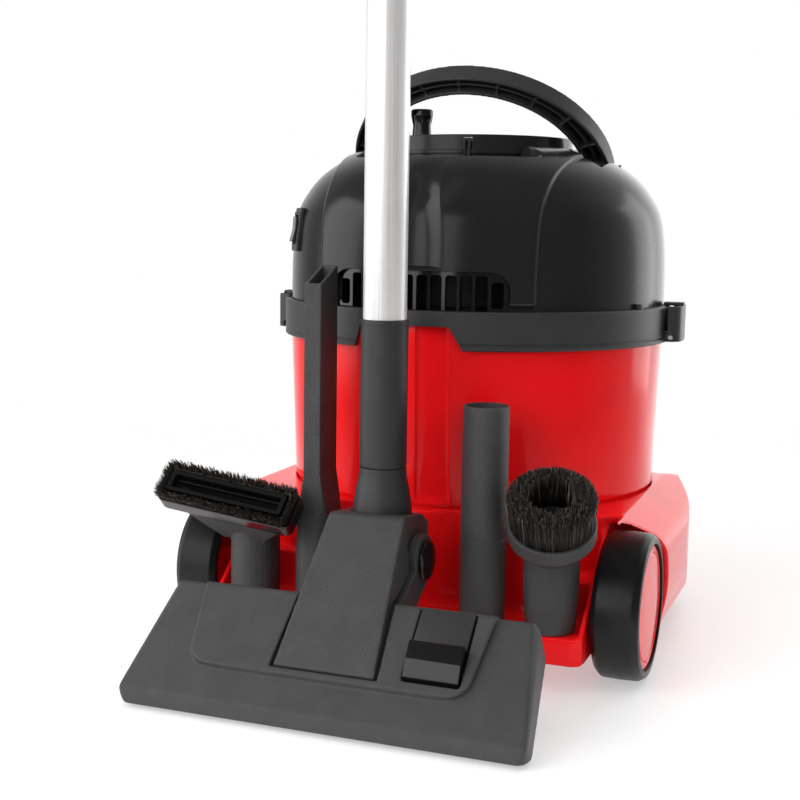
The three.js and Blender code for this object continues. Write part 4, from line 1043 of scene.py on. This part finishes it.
def mouth_matrix():
    place = Matrix.Translation((NOZZLE_X - 6, STOW_Y - 17, STOW_Z + 66))
    lean, roll = turned(48, "X"), turned(7, "Y")
    return place @ roll @ lean


def clump(x, y, reach):
    """A lean shared by neighbouring bristles, so that they gather in small clumps."""
    spot = Vector((x * 0.55, y * 0.55, 3.1))
    return noise.noise_vector(spot) * reach


def rim_point(pick, width, depth, radius):
    """A random point within a rounded rectangle, in plan."""
    while True:
        x, y = pick.uniform(-width / 2, width / 2), pick.uniform(-depth / 2, depth / 2)
        dx, dy = max(0, abs(x) - width / 2 + radius), max(0, abs(y) - depth / 2 + radius)
        if hypot(dx, dy) <= radius:
            return x, y


def make_nozzle():
    relieved("upholstery_nozzle", "nozzle_shell", TOOL, "nozzle", 0.7, 6)
    relieved("nozzle_brush_frame", "brush_ring", SHINY, "nozzle_brush", 0.6, 5)
    turn = mouth_matrix()
    lip = cut(prism(rectangle(98, 17, 2.4), 29.3, 37.6), prism(rectangle(91.5, 11.4, 1.4), 28, 39))
    combined(lip, prism(rectangle(91.8, 1.2, 0.5, 0, 2.6), 29.3, 33))
    placed(moved(bevelled(lip, 0.6, 3), turn), "nozzle_lip", SHINY, "nozzle")
    pick = random.Random(21)
    roots, tips = [], []
    while len(roots) < 4200:
        x, y = rim_point(pick, 112, 29.4, 6)
        if abs(x) < 50.4 and abs(y) < 9.8:
            continue
        high = pick.uniform(36.5, 41)
        lean = clump(x, y, 1.8)
        roots.append(turn @ Vector((x, y, 31.4)))
        tips.append(turn @ Vector((x * 1.03 + lean.x, y * 1.16 + lean.y, high + lean.z)))
    core = cut(prism(rectangle(111, 28.4, 6), 31.4, 35.5), prism(rectangle(101, 20, 3), 30, 42))
    tuft = merged([strands(roots, tips, 0.24, 22), moved(core, turn)])
    placed(tuft, "nozzle_tufts", BRISTLE, "nozzle_brush", "nozzle_bristles", sharp=0)


def cup_matrix():
    turn = Matrix.Translation((DUSTER_X, STOW_Y, STOW_Z)) @ turned(11, "Z")
    return turn @ Matrix.Translation((0, -13, 76)) @ turned(32, "X")


def make_duster():
    turn = cup_matrix()
    at = (DUSTER_X, STOW_Y)
    z = STOW_Z
    neck = lathe([(0, z), (18.4, z, 1), (20.6, z + 30), (20.6, z + 56, 3), (17, z + 66, 2),
                  (0, z + 66)], 96, False, at=at)
    cup = lathe([(0, -17), (19, -17, 3), (32.4, -1, 3), (32.4, 11, 1), (0, 11)], 128, False)
    combined(neck, moved(cup, turn))
    cut(neck, moved(rod("z", 15, 1, 13, (0, 0), 96), turn),
        moved(rod("z", 11, -18, 3, (0, 0), 64), turn), rod("z", 15.8, z - 1, z + 50, at, 96))
    placed(softened(neck, 0.7, 5), "duster_cup", TOOL, "duster", "dusting_brush")

    pick = random.Random(31)
    roots, tips = [], []
    for _ in range(8200):
        share = sqrt(pick.uniform(0.26, 1))
        a = pick.uniform(0, 2 * pi)
        c, s = cos(a), sin(a)
        r0, r1 = max(15.9, 30.2 * share), max(16.6, 32.4 * share)
        lean = clump(r1 * c, r1 * s, 1.7)
        high = 39.0 - 3.0 * max(0, share - 0.8) / 0.2 + pick.gauss(0, 0.5) + lean.z
        roots.append(turn @ Vector((r0 * c, r0 * s, 11.4)))
        tips.append(turn @ Vector((r1 * c + lean.x, r1 * s + lean.y, min(high, 40.4))))
    core = lathe([(16.2, 11.4), (29.6, 11.4), (30.4, 27, 2), (16.8, 27, 2)], 96)
    tuft = merged([strands(roots, tips, 0.29, 32), moved(core, turn)])
    placed(tuft, "duster_tufts", BRISTLE, "duster", "dusting_bristles", sharp=0)


make_floor_tool()
make_crevice()
make_adapter()
make_nozzle()
make_duster()

# ---- base and wheels ----------------------------------------------------------------------

BASE_HALF, BASE_TOP, BASE_REAR, BASE_FRONT = 191, 119, -208, 192
BASE_BLOCK, BASE_WALL, BASE_UNDER, SHELF_Z = 150, 5.5, 22, 43
WHEEL = (-146, 56)
ARCH_R = 60.5
WELL_R = 157.2


def base_form(inset):
    """The outer form of the base, shrunk by `inset`: its three outlines' common solid."""
    half, top = BASE_HALF - inset, BASE_TOP - inset
    low = BASE_UNDER - (5 if inset else 0)
    toe = blend_curve((half - 8, low), (half - 4, low), (half - 3, low + 14), steps=4)
    flank = [(half - 8, low), *toe,
             *blend_curve((half - 3, low + 14), (half, 50), (half, 66), steps=8),
             *blend_curve((half, top - 38), (half, top - 22), (half - 11, top - 15), steps=12)[:-1],
             *blend_curve((half - 11, top - 15), (half - 17, top - 11.5), (WELL_R + 3, top), steps=8)]
    across = prism(mirror_line(flank[1:]), BASE_REAR - 2, BASE_FRONT + 2, "y")
    rear, inner = BASE_REAR + inset, BASE_BLOCK - inset
    edge = [*blend_curve((inner - 10, rear), (inner, rear), (inner, rear + 10), steps=8),
            (inner, WHEEL[0] + inset), (half, WHEEL[0] + inset),
            *blend_curve((half, 0), (half, 105), (125, BASE_FRONT - inset), (0, BASE_FRONT - inset),
                         steps=40)[:-1]]
    plan = prism(mirror_line(edge), low, BASE_TOP + 1)
    side = [(BASE_REAR - 1, low - 1), (BASE_REAR - 1, SHELF_Z - inset), (-172 + inset, SHELF_Z - inset),
            *blend_curve((-172 + inset, SHELF_Z - inset), (-166 + inset, SHELF_Z - inset),
                         (-164 + inset, SHELF_Z + 8 - inset), steps=6)[1:],
            (-157 + inset, BASE_TOP + 1),
            *blend_curve((60, BASE_TOP + 1), (150, 110 - inset), (180 - inset, 66), steps=16),
            (BASE_FRONT + 1, 40), (BASE_FRONT + 1, low - 1)]
    form = common(across, plan, prism(side, -BASE_HALF - 1, BASE_HALF + 1, "x"))
    for s in (-1, 1):
        corner = [(s * 92, -162 + inset), (s * 160, -121 + inset), (s * 160, -230), (s * 92, -230)]
        cut(form, prism(corner, 74 - inset, 130))
    return form


def wheel_rod(radius, side, near, far, sides=96):
    low, high = (near, far) if side > 0 else (-far, -near)
    return rod("x", radius, low, high, WHEEL, sides)


def make_base():
    shell, cavity = base_form(0), base_form(BASE_WALL)
    for side in (-1, 1):
        cut(cavity, wheel_rod(ARCH_R + BASE_WALL, side, BASE_BLOCK - 3.5, BASE_HALF + 5))
    cut(shell, cavity)
    combined(shell, rod("z", WELL_R + 3, 57, 116, (0, 0), 256))
    for side in (-1, 1):
        combined(shell, wheel_rod(11, side, 118, BASE_BLOCK))
    cut(shell, rod("z", WELL_R, 61.9, 130, (0, 0), 256))
    for side in (-1, 1):
        cut(shell, wheel_rod(ARCH_R, side, BASE_BLOCK, BASE_HALF + 5))
        combined(shell, rod("z", 13, 47, 58, (side * 98, 104), 48))
        cut(shell, rod("z", 5.2, 20, 59, (side * 98, 104), 32))
        slope = [(-207, 24), (-207, SHELF_Z), (-127, 110), (-127, 24)]
        low, high = (146, 150) if side > 0 else (-150, -146)
        combined(shell, prism(slope, low, high, "x"))
        cut(shell, wheel_rod(5.3, side, 122, BASE_BLOCK + 1, 48))
    post = block(-14, 14, -196.5, -180, 41, 112)
    cut(post, block(-3.8, 3.8, -197, -191, 96, 113), block(-8.8, 8.8, -191.8, -184.7, 96, 113))
    combined(shell, post)
    for x in (-65, NOZZLE_X, ADAPTER_X, DUSTER_X):
        combined(shell, lathe([(0, 41), (14, 41), (14, 69, 2), (0, 69)], 64, False, at=(x, STOW_Y)))
    softened(shell, 1.5, 6)
    placed(lighter(shell, 0.55), "base_shell", RED, "base", "base_moulding", sharp=60)


def make_rear_wheel(side, word):
    def line(points):
        return [(r, side * x, *rest) for r, x, *rest in points]
    hub = line([(5.3, 151, 0.5), (12, 151, 1), (12, 155), (12, 181.5), (42.6, 181.5, 1.5),
                (42.6, 159, 1), (47.6, 159, 1), (47.6, 184.8), (47.4, 186.6, 1.2), (44.6, 187.2, 1),
                (43.4, 186.2, 1), (41.4, 186.2, 1), (40.0, 187.4, 1.2), (20, 187.9, 4), (0, 188)])
    disc = lathe(hub + line([(0, 181.5), (5.3, 181.5)]), 192, True, "x", WHEEL)
    placed(disc, f"{word}_hub_disc", RED, f"{word}_wheel", f"{word}_wheel_hub")
    tyre = line([(47.9, 153.2, 0.6), (51.5, 153.2, 2), (55.6, 157.2, 3.4), (56, 171), (55.6, 184, 4.6),
                 (52.8, 188.6, 2.6), (50.6, 188.9, 0.6), (50.1, 188.4, 0.4), (49.5, 188.9, 0.4),
                 (47.9, 188.9, 0.5)])
    placed(lathe(tyre, 192, True, "x", WHEEL), f"{word}_tyre_ring", RUBBER, f"{word}_wheel",
           f"{word}_wheel_tyre")


def make_caster(side, word):
    x, at = side * 98, (92, 20)
    wheel = lathe([(2.8, x - 9.3, 0.4), (8, x - 9.3, 1), (9, x - 8.4, 0.8), (15, x - 8.4, 0.8),
                   (16, x - 9.3, 0.8), (18, x - 9.3, 1.2), (20, x - 6.6, 2.4), (20, x + 6.6, 2.4),
                   (18, x + 9.3, 1.2), (16, x + 9.3, 0.8), (15, x + 8.4, 0.8), (9, x + 8.4, 0.8),
                   (8, x + 9.3, 1), (2.8, x + 9.3, 0.4)], 96, True, "x", at)
    placed(wheel, f"{word}_caster_tyre", RUBBER, f"{word}_caster_roller", f"{word}_caster_wheel")
    swivel = f"{word}_caster_swivel"
    relieved(f"{word}_caster_fork", f"{word}_fork_yoke", MATT, swivel, 0.6, 4)


make_base()
for side, word in ((-1, "left"), (1, "right")):
    make_rear_wheel(side, word)
    make_caster(side, word)

# ---- bag, filter and motor ----------------------------------------------------------------


def make_bag():
    outline = through([(4, 66.5), (60, 66.8), (96, 68), (120, 82), (128, 112), (118, 142), (92, 164),
                       (60, 180), (24, 188), (4, 188.6)], 8)

    def place(a, i, r, h):
        point = Vector((r * cos(a), r * sin(a), h))
        crease = noise.noise(point * 0.035) * 3.2 + noise.noise(point * 0.11) * 1.1
        folds = 1.6 * sin(8 * a + 0.05 * h) * smoothstep(120, 175, h) * smoothstep(0, 60, r)
        keep = 0 if i in (0, len(outline) - 1) else 1
        r += keep * (min(0, crease - 1.2) + folds - 1.6)
        return r * cos(a), r * sin(a), h

    bag = skin(outline, angles(0, 20, 2, 2), place, closed=True)
    cut(bag, block(-40, 40, 104, 140, 140, 210))
    placed(bag, "bag_cloth", CLOTH, "base", "dust_bag")


def make_filter():
    line = [(3, 216.4), (38, 216.4), (90, 233.6), (140, 250.6), (153, 258.2), (157.6, 258.2),
            (157.6, 261.4), (150, 261.4), (136, 255.4), (90, 240.4), (41, 221.8), (3, 221.8)]

    def place(a, _, r, h):
        pleat = 1.0 * cos(48 * a) * smoothstep(44, 60, r) * (1 - smoothstep(136, 146, r))
        return r * cos(a), r * sin(a), h + pleat

    funnel = skin(divided(line, 9), angles(0, 20, 1.25, 1.25), place, closed=True)
    placed(funnel, "filter_pleats", CLOTH, "base", "filter_cone")


def make_motor():
    housing = lathe([(34, 270.4), (68, 270.4, 1), (68, 340, 6), (60, 346, 5), (12, 346, 1), (12, 342.5),
                     (58, 342.5, 4), (64.5, 338, 4), (64.5, 273.8, 2), (34, 273.8)], 144)
    placed(housing, "motor_can", MATT, "head", "motor_housing")
    disc = lathe([(0, 276.2), (57.6, 276.2, 0.5), (57.6, 278, 0.5), (20, 278.4, 4), (8, 292, 4),
                  (5, 298, 2), (4.8, 349.3, 1), (0, 349.3)], 96, False)
    for k in range(12):
        blade = prism([(p[0], p[1]) for p in blade_line(k)], 277.5, 285.5)
        combined(disc, blade)
    placed(disc, "fan_wheel", STEEL, "fan", "motor_fan")


def blade_line(k):
    """Plan of one backward-curved fan blade, as a thin closed strip."""
    start = 2 * pi * k / 12
    outer = [(r, start + 0.011 * (r - 18)) for r in range(18, 56, 4)]
    one = [(r * cos(a), r * sin(a)) for r, a in outer]
    two = [(r * cos(a + 0.9 / r), r * sin(a + 0.9 / r)) for r, a in outer]
    return one + two[::-1]


make_bag()
make_filter()
make_motor()

# ---- CAD nodes that stay ------------------------------------------------------------------

KEPT = {"head_base_plate": MATT, "motor_gasket": RUBBER, "left_axle": STEEL, "right_axle": STEEL,
        "left_clamp_pin": STEEL, "right_clamp_pin": STEEL, "left_handle_pin": STEEL,
        "right_handle_pin": STEEL, "pedal_pin": STEEL, "left_caster_stem": STEEL,
        "right_caster_stem": STEEL, "left_caster_axle": STEEL, "right_caster_axle": STEEL}

for node, material in KEPT.items():
    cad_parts[node].data.materials[0] = material
